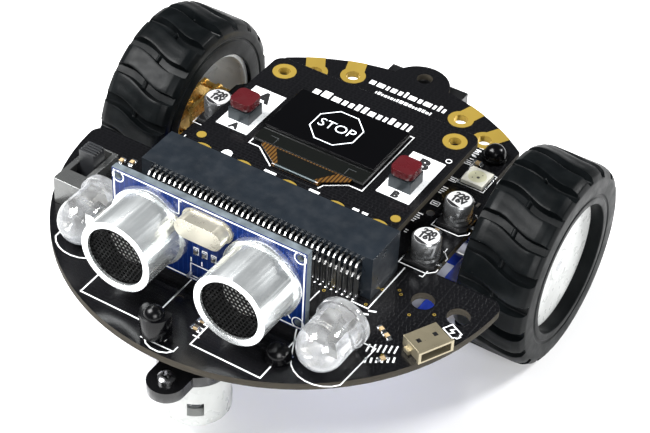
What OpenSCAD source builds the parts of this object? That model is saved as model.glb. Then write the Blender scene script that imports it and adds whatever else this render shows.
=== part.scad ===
// Two wheel robot car
// A round printed-circuit chassis on two geared wheels and a front ball caster. It carries an
// ultrasonic distance sensor, two headlights, and a plug-in controller board with a display and
// two push buttons. Millimetres. +Z is up, the front faces -Y, and the wheels touch Z = 0.

/* [Chassis board] */
// Height of the chassis board's underside above the floor
board_z = 28.7; // [28.7:0.1:30]
// Thickness of both printed circuit boards
pcb_t = 1.6; // [1.6:0.1:1.8]
// Radius of the front edge
front_r = 50; // [49.5:0.1:50.5]
// Radius of the rear edge
rear_r = 49; // [48.5:0.1:49.5]
// Width of the waist between the wheels
waist_w = 67; // [66:0.5:67.5]
// Width of the waist behind the wheels
rear_w = 60; // [58:0.5:62]
// Radius of the round tail
tail_r = 7; // [6:0.5:8]
// Diameter of the toy-brick pin holes
brick_hole_d = 4.8; // [4.7:0.1:4.9]
// Diameter of each clip tab's plated hole
tab_hole_d = 3.2; // [3:0.1:3.4]

/* [Wheels] */
// Outside diameter of the tyre
tyre_d = 45; // [44:0.5:45]
// Width of the tyre
tyre_w = 16.5; // [16:0.5:17]
// Distance between the outer faces of the two tyres
track_outer = 106.2; // [106:0.1:107]
// Number of tread blocks around one tyre
treads = 20; // [16:1:22]
// Depth of the tread grooves
groove_depth = 2; // [1:0.25:2.5]
// Width of the tread grooves
groove_w = 2.3; // [1.2:0.1:2.6]
// Sideways swing of each S-shaped groove, from its middle to its end
groove_swing = 1.35; // [0.5:0.05:2]
// Depth of the recess in front of the wheel disc
recess = 3.1; // [2.4:0.1:3.4]
// Diameter of the wheel shaft
axle_d = 3; // [3:0.5:3]
// Distance of the axles behind the part's centre
axle_y = 20.1; // [19:0.1:21]

/* [Gear motors] */
// Width of the motor and its gearbox
motor_w = 12; // [12:0.5:12]
// Height of the motor and its gearbox
motor_h = 10; // [10:0.5:10]
// Length of the motor can
motor_l = 15; // [12:0.5:15]
// Length of the gearbox
gearbox_l = 9.3; // [9:0.1:9.6]
// Teeth of each large gear
gear_teeth = 22; // [22:1:22]
// Teeth of each pinion
pinion_teeth = 10; // [10:1:10]
// Distance between the wheel shaft and the lay shaft
gear_centres = 3.2; // [3.2:0.1:3.2]

/* [Caster] */
// Diameter of the caster ball
ball_d = 10; // [9.5:0.1:10.2]
// Diameter of the caster's housing
caster_d = 14.8; // [14.4:0.2:16]
// Distance of the caster in front of the part's centre
caster_y = 39.8; // [39:0.2:40]

/* [Ultrasonic sensor] */
// Width of the sensor board
sensor_w = 45; // [44:0.5:46]
// Height of the sensor board
sensor_h = 20; // [20:0.5:21]
// Height of the middle of the sensor above the floor
sensor_z = 42.5; // [42.5:0.1:44]
// Diameter of each transducer can
can_d = 16; // [15.5:0.1:16.2]
// Length of each transducer can
can_l = 12; // [11:0.5:12.5]
// Distance between the two transducers
can_pitch = 26.2; // [26:0.1:27]

/* [Plug-in controller] */
// Width of the controller board
ctrl_w = 51; // [50:0.2:51.4]
// Length of the controller board
ctrl_l = 45.6; // [44:0.2:46]
// Height of the controller board's underside above the chassis board
ctrl_gap = 6.4; // [6.4:0.1:6.8]
// Sideways position of the controller board and its connector
ctrl_x = -0.4; // [-1:0.1:0]
// Pitch of the edge connector's contacts
contact_pitch = 1.27; // [1.27:0.01:1.27]
// Number of edge contacts in each row
contacts = 40; // [20:1:40]
// Distance between the two push buttons
button_pitch = 39.4; // [38:0.2:41]
// Travel of each push button
button_travel = 0.25; // [0.2:0.05:0.3]

/* [Headlights] */
// Diameter of each headlight lamp
lamp_d = 10; // [9.5:0.1:10.2]
// Length of the straight part of each lamp
lamp_l = 8.3; // [7:0.1:8.5]

/* [Power switch] */
// Length of the slide switch
switch_l = 13.5; // [13.3:0.1:13.8]
// Width of the slide switch
switch_w = 6.6; // [6.4:0.1:6.6]
// Height of the switch's case
switch_h = 6.5; // [6:0.1:7]

/* [Battery] */
// Length of the battery pack
pack_l = 69; // [66:0.5:69.5]
// Width of the battery pack
pack_w = 30; // [26:0.5:30.5]
// Height of the battery pack
pack_h = 9.3; // [8:0.1:10]

/* [Hidden] */
$fa = 4;
$fs = 0.3;
eps = 0.01;

// chassis
board_top = board_z + pcb_t;
front_c = -4.65;
rear_c = 0.35;
notch_y = -4.85;
ear_r = 3;
tail_y = 47.6;
tail_hole_r = 1.8;
brick_holes = [[36, -13.2], [44, -13.2]];
tab_angles = [-29.8, -18.5, 18.5, 29.8];
tab_reach = 43.8;
tab_ring_r = 2.9;
plating_t = 0.08;

// wheels and gear motors
tyre_r = tyre_d / 2;
axle_z = tyre_r;
axle_r = axle_d / 2;
wheel_out = track_outer / 2;
wheel_in = wheel_out - tyre_w;
rim_r = 17;
rim_wall = 1.6;
outer_lip_r = 14.5;
inner_lip_r = 14.6;
hub_mouth_r = 13.8;
hub_flange_t = 1.2;
lip_t = 1;
disc_t = 1.8;
disc_out = tyre_w - recess;
groove_span = 10;
groove_phase = [9.5, 4.5];
ir_x = -1.7;
gearbox_out = 43;
gearbox_in = gearbox_out - gearbox_l;
motor_in = gearbox_in - motor_l;
plate_t = 0.8;
plate_mid = gearbox_out - 4.5;
gear_module = 2 * gear_centres / (gear_teeth + pinion_teeth);
bracket_x = gearbox_in - 9.7;
bracket_l = 8;
bracket_wall = 1.2;
bracket_screw_y = 9.3;
m2_r = 0.95;

// caster
ear_pitch = 10;
plate_z = 15.9;
caster_plate_t = 2.6;
caster_ear_r = 4.1;

// sensor
sensor_y = -35.85;
can_r = can_d / 2;
header_pins = 4;
header_pitch = 2.54;
pin_s = 0.64;

// controller and its connector
conn_front = -18.85;
conn_back = -8.35;
conn_w = 55.2;
conn_top = board_top + 10.5;
ctrl_z = board_top + ctrl_gap;
ctrl_top = ctrl_z + pcb_t;
ctrl_back = 29.65;
ctrl_front = ctrl_back - ctrl_l;
fix_pitch = 42.7;
fix_y = 25.25;
fix_r = 1.35;
clip_xs = [-21, -11, 0.1, 11.6, 21.6];
clip_y = -8.2;
clip_r = 2;
button_y = 7.3;
button_s = 5.2;
button_h = 2.9;
cap_s = 5.3;

// lamps, left then right: sideways place, then the tip's
lamp_places = [[-29.6, -42], [29, -45.1]];
lamp_r = lamp_d / 2;
lamp_flange_r = lamp_r + 0.6;
lamp_z = board_top + lamp_flange_r + 0.05;
lamp_len = lamp_r + lamp_l;

// power switch
switch_x = -38.6;
switch_y = -23.75;
switch_slot_w = 4.1;
switch_slot_front = switch_y - 2.75;
switch_slot_back = switch_y + switch_l / 2 - 0.4;
knob_w = 3.8;
knob_l = 3.7;
knob_y = -21.7;
knob_top = switch_h + 3.4;

// small parts on the chassis board
capacitors = [[29.9, 11.55], [-29.9, 11.55], [30, -2.05]];
rgb_places = [[26.8, 25.8], [-26.8, 25.8]];

// battery
pad_t = 2;
pack_top = board_z - pad_t;
pack_y = -6.9;

// Rectangle with rounded corners, drawn with true arcs
module rounded(w, d, r) {
  square([w - 2 * r, d], center = true);
  square([w, d - 2 * r], center = true);
  for (x = [-1, 1], y = [-1, 1])
    translate([x * (w / 2 - r), y * (d / 2 - r)])
      circle(r = r);
}

// Copy the children to a mirrored place on the other side
module both_sides() {
  children();
  mirror([1, 0, 0])
    children();
}

// Turn the children's +Z towards +X
module along_x() {
  rotate([90, 0, 90])
    children();
}

// ---- chassis board ----

module chassis_outline() {
  difference() {
    intersection() {
      translate([0, front_c])
        circle(r = front_r);
      translate([-60, -60])
        square([120, 60 + notch_y]);
    }
    both_sides()
      translate([tip_x(), notch_y - ear_r])
        difference() {
          square([10, 10]);
          circle(r = ear_r);
        }
  }
  intersection() {
    translate([0, rear_c])
      circle(r = rear_r);
    polygon([
      [-waist_w / 2, notch_y - 1], [waist_w / 2, notch_y - 1], [waist_w / 2, 24],
      [rear_w / 2, 28], [rear_w / 2, 60], [-rear_w / 2, 60], [-rear_w / 2, 28],
      [-waist_w / 2, 24]
    ]);
  }
  translate([0, tail_y])
    circle(r = tail_r);
}

function tip_x() = sqrt(pow(front_r - ear_r, 2) - pow(notch_y - ear_r - front_c, 2));

function tab_pos(a) = [tab_reach * sin(a), rear_c + tab_reach * cos(a)];

module bracket_screw_places() {
  for (s = [-1, 1], t = [-1, 1])
    translate([s * bracket_x, axle_y + t * bracket_screw_y, 0])
      children();
}

module base_board() {
  color([0.03, 0.03, 0.035])
    difference() {
      translate([0, 0, board_z])
        linear_extrude(pcb_t)
          chassis_outline();
      for (p = brick_holes)
        translate([p[0], p[1], board_z - 1])
          cylinder(d = brick_hole_d, h = pcb_t + 2);
      for (a = tab_angles)
        translate([tab_pos(a)[0], tab_pos(a)[1], board_z - 1])
          cylinder(r = tab_hole_d / 2 + plating_t, h = pcb_t + 2);
      translate([0, tail_y + 2.6, board_z - 1])
        cylinder(r = tail_hole_r, h = pcb_t + 2);
      bracket_screw_places()
        translate([0, 0, board_z - 1])
          cylinder(r = m2_r, h = pcb_t + 2);
      for (s = [-1, 1])
        translate([s * 4, -caster_y, board_z - 1])
          cylinder(r = 1, h = pcb_t + 2);
    }
}

module tab_plating() {
  color([0.85, 0.66, 0.25])
    for (a = tab_angles)
      difference() {
        union() {
          translate([tab_pos(a)[0], tab_pos(a)[1], board_z])
            cylinder(r = tab_hole_d / 2 + plating_t, h = pcb_t);
          translate([0, 0, board_top])
            linear_extrude(plating_t)
              intersection() {
                translate([0, rear_c])
                  circle(r = rear_r);
                translate([0, rear_c])
                  rotate(-a) {
                    translate([0, tab_reach])
                      circle(r = tab_ring_r);
                    translate([-2.2, tab_reach])
                      square([4.4, 8]);
                  }
              }
        }
        translate([tab_pos(a)[0], tab_pos(a)[1], board_z - 1])
          cylinder(d = tab_hole_d, h = pcb_t + 2);
      }
}

module rear_socket() {
  color([0.06, 0.06, 0.065])
    difference() {
      translate([-9.8, 44.6, board_z - 5])
        cube([19.6, 8.5, 5]);
      translate([0, tail_y + 2.6, board_z - 6])
        cylinder(r = tail_hole_r, h = 8);
      for (s = [-1, 1], i = [1 : 2])
        translate([s * (i + 0.5) * header_pitch - 0.5, 48.5, board_z - 3])
          cube([1, 6, 1]);
    }
}

module small_part(x, y, a, w, d, h) {
  translate([x, y, board_top])
    rotate(a)
      translate([-w / 2, -d / 2, 0])
        cube([w, d, h]);
}

module chip_parts() {
  color([0.25, 0.22, 0.2]) {
    for (i = [0 : 2])
      small_part(27.6, 2.6 + 1.7 * i, 0, 1.6, 0.8, 0.5);
    for (i = [0 : 3])
      small_part(-31 + 1.6 * i, -19.2 - 0.9 * i, 30, 0.8, 1.6, 0.5);
    for (i = [0 : 3])
      small_part(27.5 + 1.2 * i, 18.4, 0, 0.6, 1.2, 0.4);
    small_part(3.6, -42.5, 0, 1.6, 0.8, 0.5);
    small_part(3.6, -44.6, 0, 1.6, 0.8, 0.5);
    small_part(21.4, -29.6, 60, 2, 1.25, 0.6);
    small_part(0, 8, 0, 9.9, 3.9, 1.5);
    small_part(-13, 16, 0, 6.5, 3.5, 1.6);
    small_part(12, 20, 90, 5, 4.4, 1.2);
  }
}

// ---- edge connector ----

module edge_connector() {
  color([0.09, 0.1, 0.12])
    translate([ctrl_x, 0, 0])
      difference() {
        union() {
          translate([-conn_w / 2, conn_front + 1, board_top])
            cube([conn_w, conn_back - conn_front - 1, conn_top - board_top]);
          translate([-conn_w / 2, conn_front, conn_top - 1.1])
            cube([conn_w, 1.5, 1.1]);
          for (s = [-1, 1])
            translate([s * (conn_w / 2 - 1.2) - 1.2, conn_front, board_top])
              cube([2.4, 1.5, conn_top - board_top]);
          for (i = [0 : contacts])
            translate([(i - contacts / 2) * contact_pitch - 0.25, conn_front + 0.1, conn_top - 4])
              cube([0.5, 1.4, 3.5]);
        }
        translate([-25.8, conn_back - 8, ctrl_z - 0.1])
          cube([51.6, 10, pcb_t + 0.3]);
      }
}

module contact_profile(reach, top) {
  polygon([
    [conn_front + 1, top], [conn_front - reach + 0.6, top], [conn_front - reach, top - 0.6],
    [conn_front - reach, board_top], [conn_front - reach + 0.3, board_top],
    [conn_front - reach + 0.3, top - 0.72], [conn_front - reach + 0.72, top - 0.3],
    [conn_front + 1, top - 0.3]
  ]);
}

module edge_contacts() {
  color([0.78, 0.78, 0.76])
    translate([ctrl_x, 0, 0])
      for (i = [0 : contacts - 1])
        translate([(i + 0.5 - contacts / 2) * contact_pitch - 0.19, 0, 0])
          along_x()
            linear_extrude(0.38) {
              contact_profile(1.7, conn_top - 1.5);
              contact_profile(0.7, conn_top - 5.3);
            }
}

// ---- ultrasonic sensor ----

module sensor_pin_rods() {
  for (i = [0 : header_pins - 1])
    translate([(i - 1.5) * header_pitch - pin_s / 2, 0, 0]) {
      translate([0, sensor_y - 1.2, sensor_z - 8.6])
        cube([pin_s, 6, pin_s]);
      translate([0, sensor_y + 4.8 - pin_s, board_top])
        cube([pin_s, pin_s, sensor_z - 8.6 + pin_s - board_top]);
    }
}

module sensor_board() {
  color([0.05, 0.12, 0.45])
    difference() {
      translate([-sensor_w / 2, sensor_y, sensor_z - sensor_h / 2])
        cube([sensor_w, 1.6, sensor_h]);
      for (s = [-1, 1], t = [-1, 1])
        translate([s * 21, sensor_y - 1, sensor_z + t * 8.3])
          rotate([-90, 0, 0])
            cylinder(r = 0.8, h = 4);
      sensor_pin_rods();
    }
}

module sensor_header() {
  color([0.05, 0.05, 0.05])
    difference() {
      translate([-header_pins * header_pitch / 2, sensor_y + 1.6, sensor_z - 9.5])
        cube([header_pins * header_pitch, 2.5, 2.5]);
      sensor_pin_rods();
    }
}

module sensor_pins() {
  color([0.8, 0.78, 0.7])
    sensor_pin_rods();
}

module transducer_can(side) {
  color([0.82, 0.83, 0.85])
    translate([side * can_pitch / 2, sensor_y, sensor_z])
      rotate([90, 0, 0])
        difference() {
          union() {
            cylinder(r = can_r, h = can_l);
            cylinder(r = can_r + 0.7, h = 1.5);
          }
          translate([0, 0, 1])
            cylinder(r = can_r - 0.6, h = can_l - 1.7);
          translate([0, 0, 1])
            cylinder(r = can_r - 1.45, h = can_l);
        }
}

module sensor_grilles() {
  color([0.04, 0.04, 0.045])
    for (s = [-1, 1])
      translate([s * can_pitch / 2, sensor_y - can_l + 1.2, sensor_z])
        rotate([90, 0, 0])
          cylinder(r = can_r - 0.6, h = 0.5);
}

module sensor_cores() {
  color([0.75, 0.72, 0.62])
    for (s = [-1, 1])
      translate([s * can_pitch / 2, sensor_y - 1, sensor_z])
        rotate([90, 0, 0]) {
          cylinder(r = 6.4, h = 3.5);
          translate([0, 0, 3.5])
            cylinder(r1 = 1.2, r2 = 4.6, h = 2.6);
        }
}

module crystal_outline(w, d) {
  square([w - d, d], center = true);
  for (s = [-1, 1])
    translate([s * (w - d) / 2, 0])
      circle(d = d);
}

module sensor_crystal() {
  color([0.83, 0.8, 0.66])
    translate([0.2, sensor_y, sensor_z + 6.3])
      rotate([90, 0, 0]) {
        linear_extrude(0.5)
          crystal_outline(11.6, 5.1);
        linear_extrude(3.7)
          crystal_outline(10.8, 4.4);
      }
}

module sensor_chips() {
  color([0.08, 0.08, 0.085])
    for (p = [[-13, 1.5, 9], [1, 3, 9], [14.5, 1.5, 9]])
      translate([p[0], sensor_y + 1.6, sensor_z + p[1]]) {
        translate([-p[2] / 2, 0.2, -2])
          cube([p[2], 1.4, 4]);
        for (i = [0 : 5], t = [-1, 1])
          translate([-p[2] / 2 + 1 + i * 1.27, 0, t * 2.4 - 0.5])
            cube([0.45, 0.4, 1]);
      }
}

// ---- headlights ----

module lamp_body() {
  translate([0, lamp_r, 0])
    sphere(r = lamp_r);
  translate([0, lamp_r, 0])
    rotate([-90, 0, 0])
      cylinder(r = lamp_r, h = lamp_l);
  translate([0, lamp_len - 1.5, 0])
    rotate([-90, 0, 0])
      cylinder(r = lamp_flange_r, h = 1.5);
}

module lamp_leads() {
  for (s = [-1, 1]) {
    translate([s * 1.27 - 0.3, lamp_len - 6.5 - s * 1.5, -0.3])
      cube([0.6, 8.7 + s * 1.5, 0.6]);
    translate([s * 1.27 - 0.3, lamp_len + 1.6, board_top - lamp_z])
      cube([0.6, 0.6, lamp_z - board_top + 0.3]);
    translate([s * 1.27 - 0.9, lamp_len - 6.5 - s * 1.5, -1.4])
      cube([1.8, 4, 2.8]);
  }
  translate([-1.27, lamp_len - 5, 0])
    rotate([90, 0, 0])
      cylinder(r1 = 1.3, r2 = 1.9, h = 1.5);
}

module lamp(place) {
  color([0.93, 0.95, 0.97, 0.5])
    translate([place[0], place[1], lamp_z])
      difference() {
        lamp_body();
        lamp_leads();
      }
}

module lamp_frame(place) {
  color([0.75, 0.72, 0.66])
    translate([place[0], place[1], lamp_z])
      lamp_leads();
}

// ---- small parts on the chassis board ----

module ir_receiver() {
  color([0.03, 0.03, 0.035])
    translate([ir_x, -50.6, board_top + 1.2]) {
      linear_extrude(5)
        intersection() {
          circle(r = 3.2);
          translate([-5, -5])
            square([10, 6.4]);
        }
      translate([0, -0.6, 4.6])
        sphere(r = 2.2);
    }
}

module ir_receiver_legs() {
  color([0.75, 0.75, 0.73])
    for (i = [-1 : 1])
      translate([ir_x + i * 1.9 - 0.25, -50.85, board_top])
        cube([0.5, 0.5, 1.2]);
}

// One sensor looks up behind the right wheel, the other stands beside the right headlight
module light_sensor() {
  color([0.03, 0.03, 0.035])
    for (p = [[26.4, 34.4], [20.8, -42.5]])
      translate([p[0], p[1], board_top]) {
        cylinder(r = 2.8, h = 0.8);
        intersection() {
          cylinder(r = 2.6, h = 4);
          translate([0, 0, 0.9])
            sphere(r = 2.5);
        }
      }
}

module switch_case() {
  wall = 0.4;
  color([0.75, 0.75, 0.73])
    translate([switch_x, 0, board_top])
      difference() {
        translate([-switch_w / 2, switch_y - switch_l / 2, 0])
          cube([switch_w, switch_l, switch_h]);
        translate([-switch_w / 2 + wall, switch_y - switch_l / 2 + wall, 1])
          cube([switch_w - 2 * wall, switch_l - 2 * wall, switch_h - 1 - wall]);
        translate([-switch_slot_w / 2, switch_slot_front, switch_h - 1])
          cube([switch_slot_w, switch_slot_back - switch_slot_front, 2]);
      }
}

module switch_knob() {
  rib_pitch = knob_l / 5;
  color([0.06, 0.06, 0.065])
    translate([switch_x, knob_y, board_top]) {
      translate([-2.7, -knob_l / 2, 1.2])
        cube([5.4, knob_l, switch_h - 2]);
      translate([-knob_w / 2, -knob_l / 2, switch_h - 1])
        cube([knob_w, knob_l, knob_top - switch_h + 0.4]);
      for (i = [0 : 4])
        translate([-knob_w / 2, -knob_l / 2 + rib_pitch * i, knob_top - 0.7])
          cube([knob_w, rib_pitch * 0.6, 0.7]);
    }
}

module usb_place() {
  translate([43.1, -24.1, board_top])
    rotate(-27)
      children();
}

module usb_shell() {
  color([0.8, 0.79, 0.74])
    usb_place()
      difference() {
        union() {
          translate([-2.9, -3.75, 0.1])
            cube([5.8, 7.5, 2.6]);
          translate([2.5, -4.05, 0])
            cube([0.6, 8.1, 2.9]);
          for (s = [-1, 1])
            translate([-1.6, s * 4 - 0.4, 0])
              cube([1.6, 0.8, 1]);
        }
        translate([-2.2, -3.4, 0.45])
          cube([6, 6.8, 1.9]);
      }
}

module usb_tongue() {
  color([0.05, 0.05, 0.05])
    usb_place() {
      translate([-2.2, -3.4, 0.45])
        cube([0.8, 6.8, 1.9]);
      translate([-1.5, -1.9, 1.35])
        cube([3.6, 3.8, 0.55]);
    }
}

module capacitor_bases() {
  color([0.06, 0.06, 0.06])
    for (p = capacitors)
      translate([p[0], p[1], board_top])
        linear_extrude(1)
          polygon([
            [-3.3, -3.3], [2.2, -3.3], [3.3, -2.2], [3.3, 2.2], [2.2, 3.3], [-3.3, 3.3]
          ]);
}

module capacitor_cans() {
  color([0.85, 0.86, 0.88])
    for (p = capacitors)
      translate([p[0], p[1], board_top + 1])
        rotate_extrude()
          polygon([[0, 0], [3.05, 0], [3.05, 0.5], [2.9, 0.7], [2.9, 0.9], [3.05, 1.1], [3.05, 4.7],
            [2.8, 5], [0, 5]]);
}

module rgb_bodies() {
  color([0.95, 0.94, 0.88])
    for (p = rgb_places)
      translate([p[0], p[1], board_top])
        difference() {
          translate([-2.6, -2.6, 0])
            cube([5.2, 5.2, 0.9]);
          translate([0, 0, 0.3])
            cylinder(r = 2, h = 2);
        }
}

module rgb_lenses() {
  color([0.95, 0.95, 0.85, 0.7])
    for (p = rgb_places)
      translate([p[0], p[1], board_top + 0.3])
        cylinder(r = 2, h = 0.55);
}

// ---- battery ----

module battery_pack() {
  color([0.06, 0.1, 0.5])
    translate([-pack_l / 2, pack_y, pack_top - pack_h / 2])
      along_x()
        linear_extrude(pack_l)
          rounded(pack_w, pack_h, 2.2);
}

module battery_pad() {
  color([0.85, 0.85, 0.83])
    translate([-28, pack_y - 11, pack_top])
      cube([56, 22, pad_t]);
}

// ---- gear motors ----

module motor_section(grow) {
  intersection() {
    circle(r = motor_w / 2 + grow);
    square([motor_w + 3, motor_h + 2 * grow], center = true);
  }
}

module motor(side) {
  color([0.72, 0.73, 0.75])
    scale([side, 1, 1])
      translate([0, axle_y, axle_z])
        along_x()
          difference() {
            union() {
              translate([0, 0, motor_in])
                linear_extrude(motor_l)
                  motor_section(0);
              translate([0, 0, motor_in - 1])
                cylinder(r = 2.2, h = 1.2);
              for (s = [-1, 1])
                translate([s * 3.9 - 0.4, -0.9, motor_in - 1.8])
                  cube([0.8, 1.8, 2]);
            }
            translate([0, 0, gearbox_in - 5])
              cylinder(r = 0.56, h = 6);
          }
}

module gearbox_plate() {
  intersection() {
    rounded(motor_w, motor_h, 0.8);
    circle(r = 7.2);
  }
}

module gearbox(side) {
  color([0.83, 0.66, 0.3])
    scale([side, 1, 1])
      translate([0, axle_y, axle_z])
        along_x()
          difference() {
            union() {
              for (x = [gearbox_in, plate_mid, gearbox_out - plate_t])
                translate([0, 0, x])
                  linear_extrude(plate_t)
                    gearbox_plate();
              for (s = [-1, 1])
                translate([s * 4.7, s * 3.9, gearbox_in])
                  cylinder(r = 0.75, h = gearbox_l);
            }
            translate([0, 0, plate_mid - 1])
              cylinder(r = axle_r + 0.06, h = 8);
            translate([gear_centres, 0, gearbox_in + plate_t / 2])
              cylinder(r = 0.56, h = gearbox_l);
            translate([0, 0, gearbox_in - 1])
              cylinder(r = 0.56, h = 3);
          }
}

// Spur gear outline with thin straight-sided teeth, one tooth centred at angle a0
module gear_outline(teeth, a0) {
  pitch_r = gear_module * teeth / 2;
  step = 360 / teeth;
  tip = pitch_r + gear_module * 0.8;
  root = pitch_r - gear_module * 1.1;
  polygon([
    for (i = [0 : teeth - 1], k = [0 : 3])
      let (
        a = a0 + i * step + [-0.27, -0.12, 0.12, 0.27][k] * step,
        r = k == 0 || k == 3 ? root : tip
      )
        [r * cos(a), r * sin(a)]
  ]);
}

module lay_gear(side) {
  color([0.88, 0.74, 0.42])
    scale([side, 1, 1])
      translate([0, axle_y, axle_z])
        along_x()
          translate([gear_centres, 0, 0]) {
            translate([0, 0, gearbox_in + plate_t / 2 + 0.1])
              cylinder(r = 0.5, h = gearbox_l - plate_t / 2 - 0.3);
            translate([0, 0, gearbox_in + plate_t + 0.5])
              linear_extrude(1.4)
                gear_outline(gear_teeth, 180 / gear_teeth);
            translate([0, 0, plate_mid + plate_t + 0.6])
              linear_extrude(1.8)
                gear_outline(pinion_teeth, 0);
          }
}

module rotor(side) {
  color([0.85, 0.7, 0.4])
    scale([side, 1, 1])
      translate([0, axle_y, axle_z])
        along_x() {
          translate([0, 0, gearbox_in - 4])
            cylinder(r = 0.5, h = 5.2);
          translate([0, 0, gearbox_in + plate_t + 0.3])
            linear_extrude(1.8)
              gear_outline(pinion_teeth, 0);
        }
}

module motor_brackets() {
  color([0.95, 0.95, 0.93])
    for (side = [-1, 1])
      scale([side, 1, 1])
        translate([bracket_x - bracket_l / 2, axle_y, axle_z])
          along_x()
            difference() {
              linear_extrude(bracket_l)
                difference() {
                  union() {
                    translate([-motor_w / 2 - bracket_wall, -motor_h / 2 - bracket_wall])
                      square([motor_w + 2 * bracket_wall, board_z - axle_z + motor_h / 2 + bracket_wall]);
                    translate([-11.4, board_z - axle_z - 2.5])
                      square([22.8, 2.5]);
                  }
                  motor_section(0);
                }
              for (t = [-1, 1])
                translate([t * bracket_screw_y, 0, bracket_l / 2])
                  rotate([-90, 0, 0])
                    cylinder(r = m2_r, h = 12);
            }
}

module bracket_screws() {
  color([0.6, 0.6, 0.62])
    bracket_screw_places()
      difference() {
        union() {
          translate([0, 0, board_z - 2.5 - 1.3])
            cylinder(r = 1.9, h = 1.3);
          translate([0, 0, board_z - 2.6])
            cylinder(r = m2_r, h = pcb_t + 2.4);
        }
        for (a = [0, 90])
          translate([0, 0, board_z - 3.8])
            rotate(a)
              cube([2.2, 0.5, 1], center = true);
      }
}

// ---- wheels ----

// Centre line of a tread groove: its shift round the tyre at distance u across the tread
function groove_shift(u) =
  groove_swing * sin(180 * max(-0.5, min(0.5, u / groove_span)));

module groove_outline() {
  n = 16;
  us = [for (i = [0 : n]) (tyre_w + 1.2) * (i / n - 0.5)];
  polygon(concat(
    [for (u = us) [u, groove_shift(u) - groove_w / 2]],
    [for (i = [n : -1 : 0]) [us[i], groove_shift(us[i]) + groove_w / 2]]
  ));
}

// Both tyres come from one mould, so the right one's grooves swing the same way as the left one's
module tyre(side) {
  color([0.05, 0.05, 0.055])
    scale([side, 1, 1])
      translate([wheel_in, axle_y, axle_z])
        difference() {
          along_x()
            rotate_extrude()
              polygon([
                [rim_r, lip_t], [rim_r, disc_out], [outer_lip_r, disc_out],
                [outer_lip_r, tyre_w - 0.3], [outer_lip_r + 0.4, tyre_w],
                [tyre_r - 2.2, tyre_w], [tyre_r - 0.9, tyre_w - 0.6],
                [tyre_r - 0.2, tyre_w - 1.9], [tyre_r, tyre_w - 3.4], [tyre_r, 3.4],
                [tyre_r - 0.2, 1.9], [tyre_r - 0.9, 0.6], [tyre_r - 2.2, 0],
                [inner_lip_r + 0.3, 0], [inner_lip_r, 0.3], [inner_lip_r, lip_t]
              ]);
          for (i = [0 : treads - 1])
            rotate([i * 360 / treads + groove_phase[side < 0 ? 0 : 1], 0, 0])
              translate([tyre_w / 2, 0, tyre_r - groove_depth])
                linear_extrude(groove_depth + 2)
                  scale([-side, 1])
                    groove_outline();
        }
}

module hub(side) {
  color([0.94, 0.94, 0.93])
    scale([side, 1, 1])
      translate([wheel_in, axle_y, axle_z])
        along_x()
          difference() {
            union() {
              difference() {
                translate([0, 0, lip_t])
                  cylinder(r = rim_r, h = disc_out - lip_t);
                translate([0, 0, -1])
                  cylinder(r = hub_mouth_r, h = tyre_w + 2);
                translate([0, 0, lip_t + hub_flange_t])
                  cylinder(r = rim_r - rim_wall, h = tyre_w);
              }
              translate([0, 0, disc_out - disc_t])
                cylinder(r = rim_r - rim_wall + eps, h = disc_t);
              translate([0, 0, 7.4])
                cylinder(r = 3.4, h = disc_out - 7);
              for (a = [0 : 60 : 300])
                rotate(a)
                  translate([3, -0.5, disc_out - disc_t - 1.8])
                    cube([rim_r - rim_wall - 2.9, 1, 2]);
            }
            axle_section(-1, 30);
          }
}

module axle_section(from, h) {
  translate([0, 0, from])
    linear_extrude(h)
      difference() {
        circle(r = axle_r);
        translate([-2, axle_r - 0.5])
          square([4, 2]);
      }
}

module axle(side) {
  color([0.75, 0.76, 0.78])
    scale([side, 1, 1])
      translate([0, axle_y, axle_z])
        along_x() {
          translate([0, 0, plate_mid + 0.1])
            cylinder(r = axle_r, h = gearbox_out - plate_mid + 0.2);
          axle_section(gearbox_out, wheel_in + disc_out + 0.2 - gearbox_out);
          translate([0, 0, plate_mid + plate_t + 0.9])
            linear_extrude(1.2)
              difference() {
                gear_outline(gear_teeth, 180 / gear_teeth);
                circle(r = 1);
              }
        }
}

// ---- caster ----

module caster_bracket() {
  color([0.05, 0.05, 0.055])
    translate([0, -caster_y, 0])
      difference() {
        union() {
          translate([0, 0, plate_z])
            linear_extrude(caster_plate_t) {
              circle(r = caster_d / 2 + 0.6);
              translate([-caster_ear_r, -ear_pitch])
                square([2 * caster_ear_r, 2 * ear_pitch]);
              for (s = [-1, 1])
                translate([0, s * ear_pitch])
                  circle(r = caster_ear_r);
            }
          translate([0, 0, plate_z + 1])
            linear_extrude(board_z - plate_z - 1)
              rounded(14, 10.6, 1.5);
          for (s = [-1, 1])
            translate([s * 4, 0, board_z - 1])
              cylinder(r = 1, h = pcb_t + 0.8);
        }
        for (s = [-1, 1])
          translate([0, s * ear_pitch, plate_z - 1])
            cylinder(r = m2_r, h = 5);
      }
}

module caster_fasteners() {
  color([0.2, 0.2, 0.21])
    for (s = [-1, 1])
      translate([0, s * ear_pitch - caster_y, 0]) {
        difference() {
          translate([0, 0, plate_z + caster_plate_t])
            intersection() {
              cylinder(r = 1.85, h = 1.3);
              translate([0, 0, -1.4])
                sphere(r = 2.85);
            }
          for (a = [45, 135])
            translate([0, 0, plate_z + caster_plate_t + 1.3])
              rotate(a)
                cube([2.3, 0.55, 1.2], center = true);
        }
        translate([0, 0, plate_z - 2.2])
          cylinder(r = m2_r, h = caster_plate_t + 2.3);
        translate([0, 0, plate_z - 1.6])
          difference() {
            cylinder(r = 2.2, h = 1.6, $fn = 6);
            translate([0, 0, -1])
              cylinder(r = m2_r, h = 4);
          }
      }
}

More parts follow.
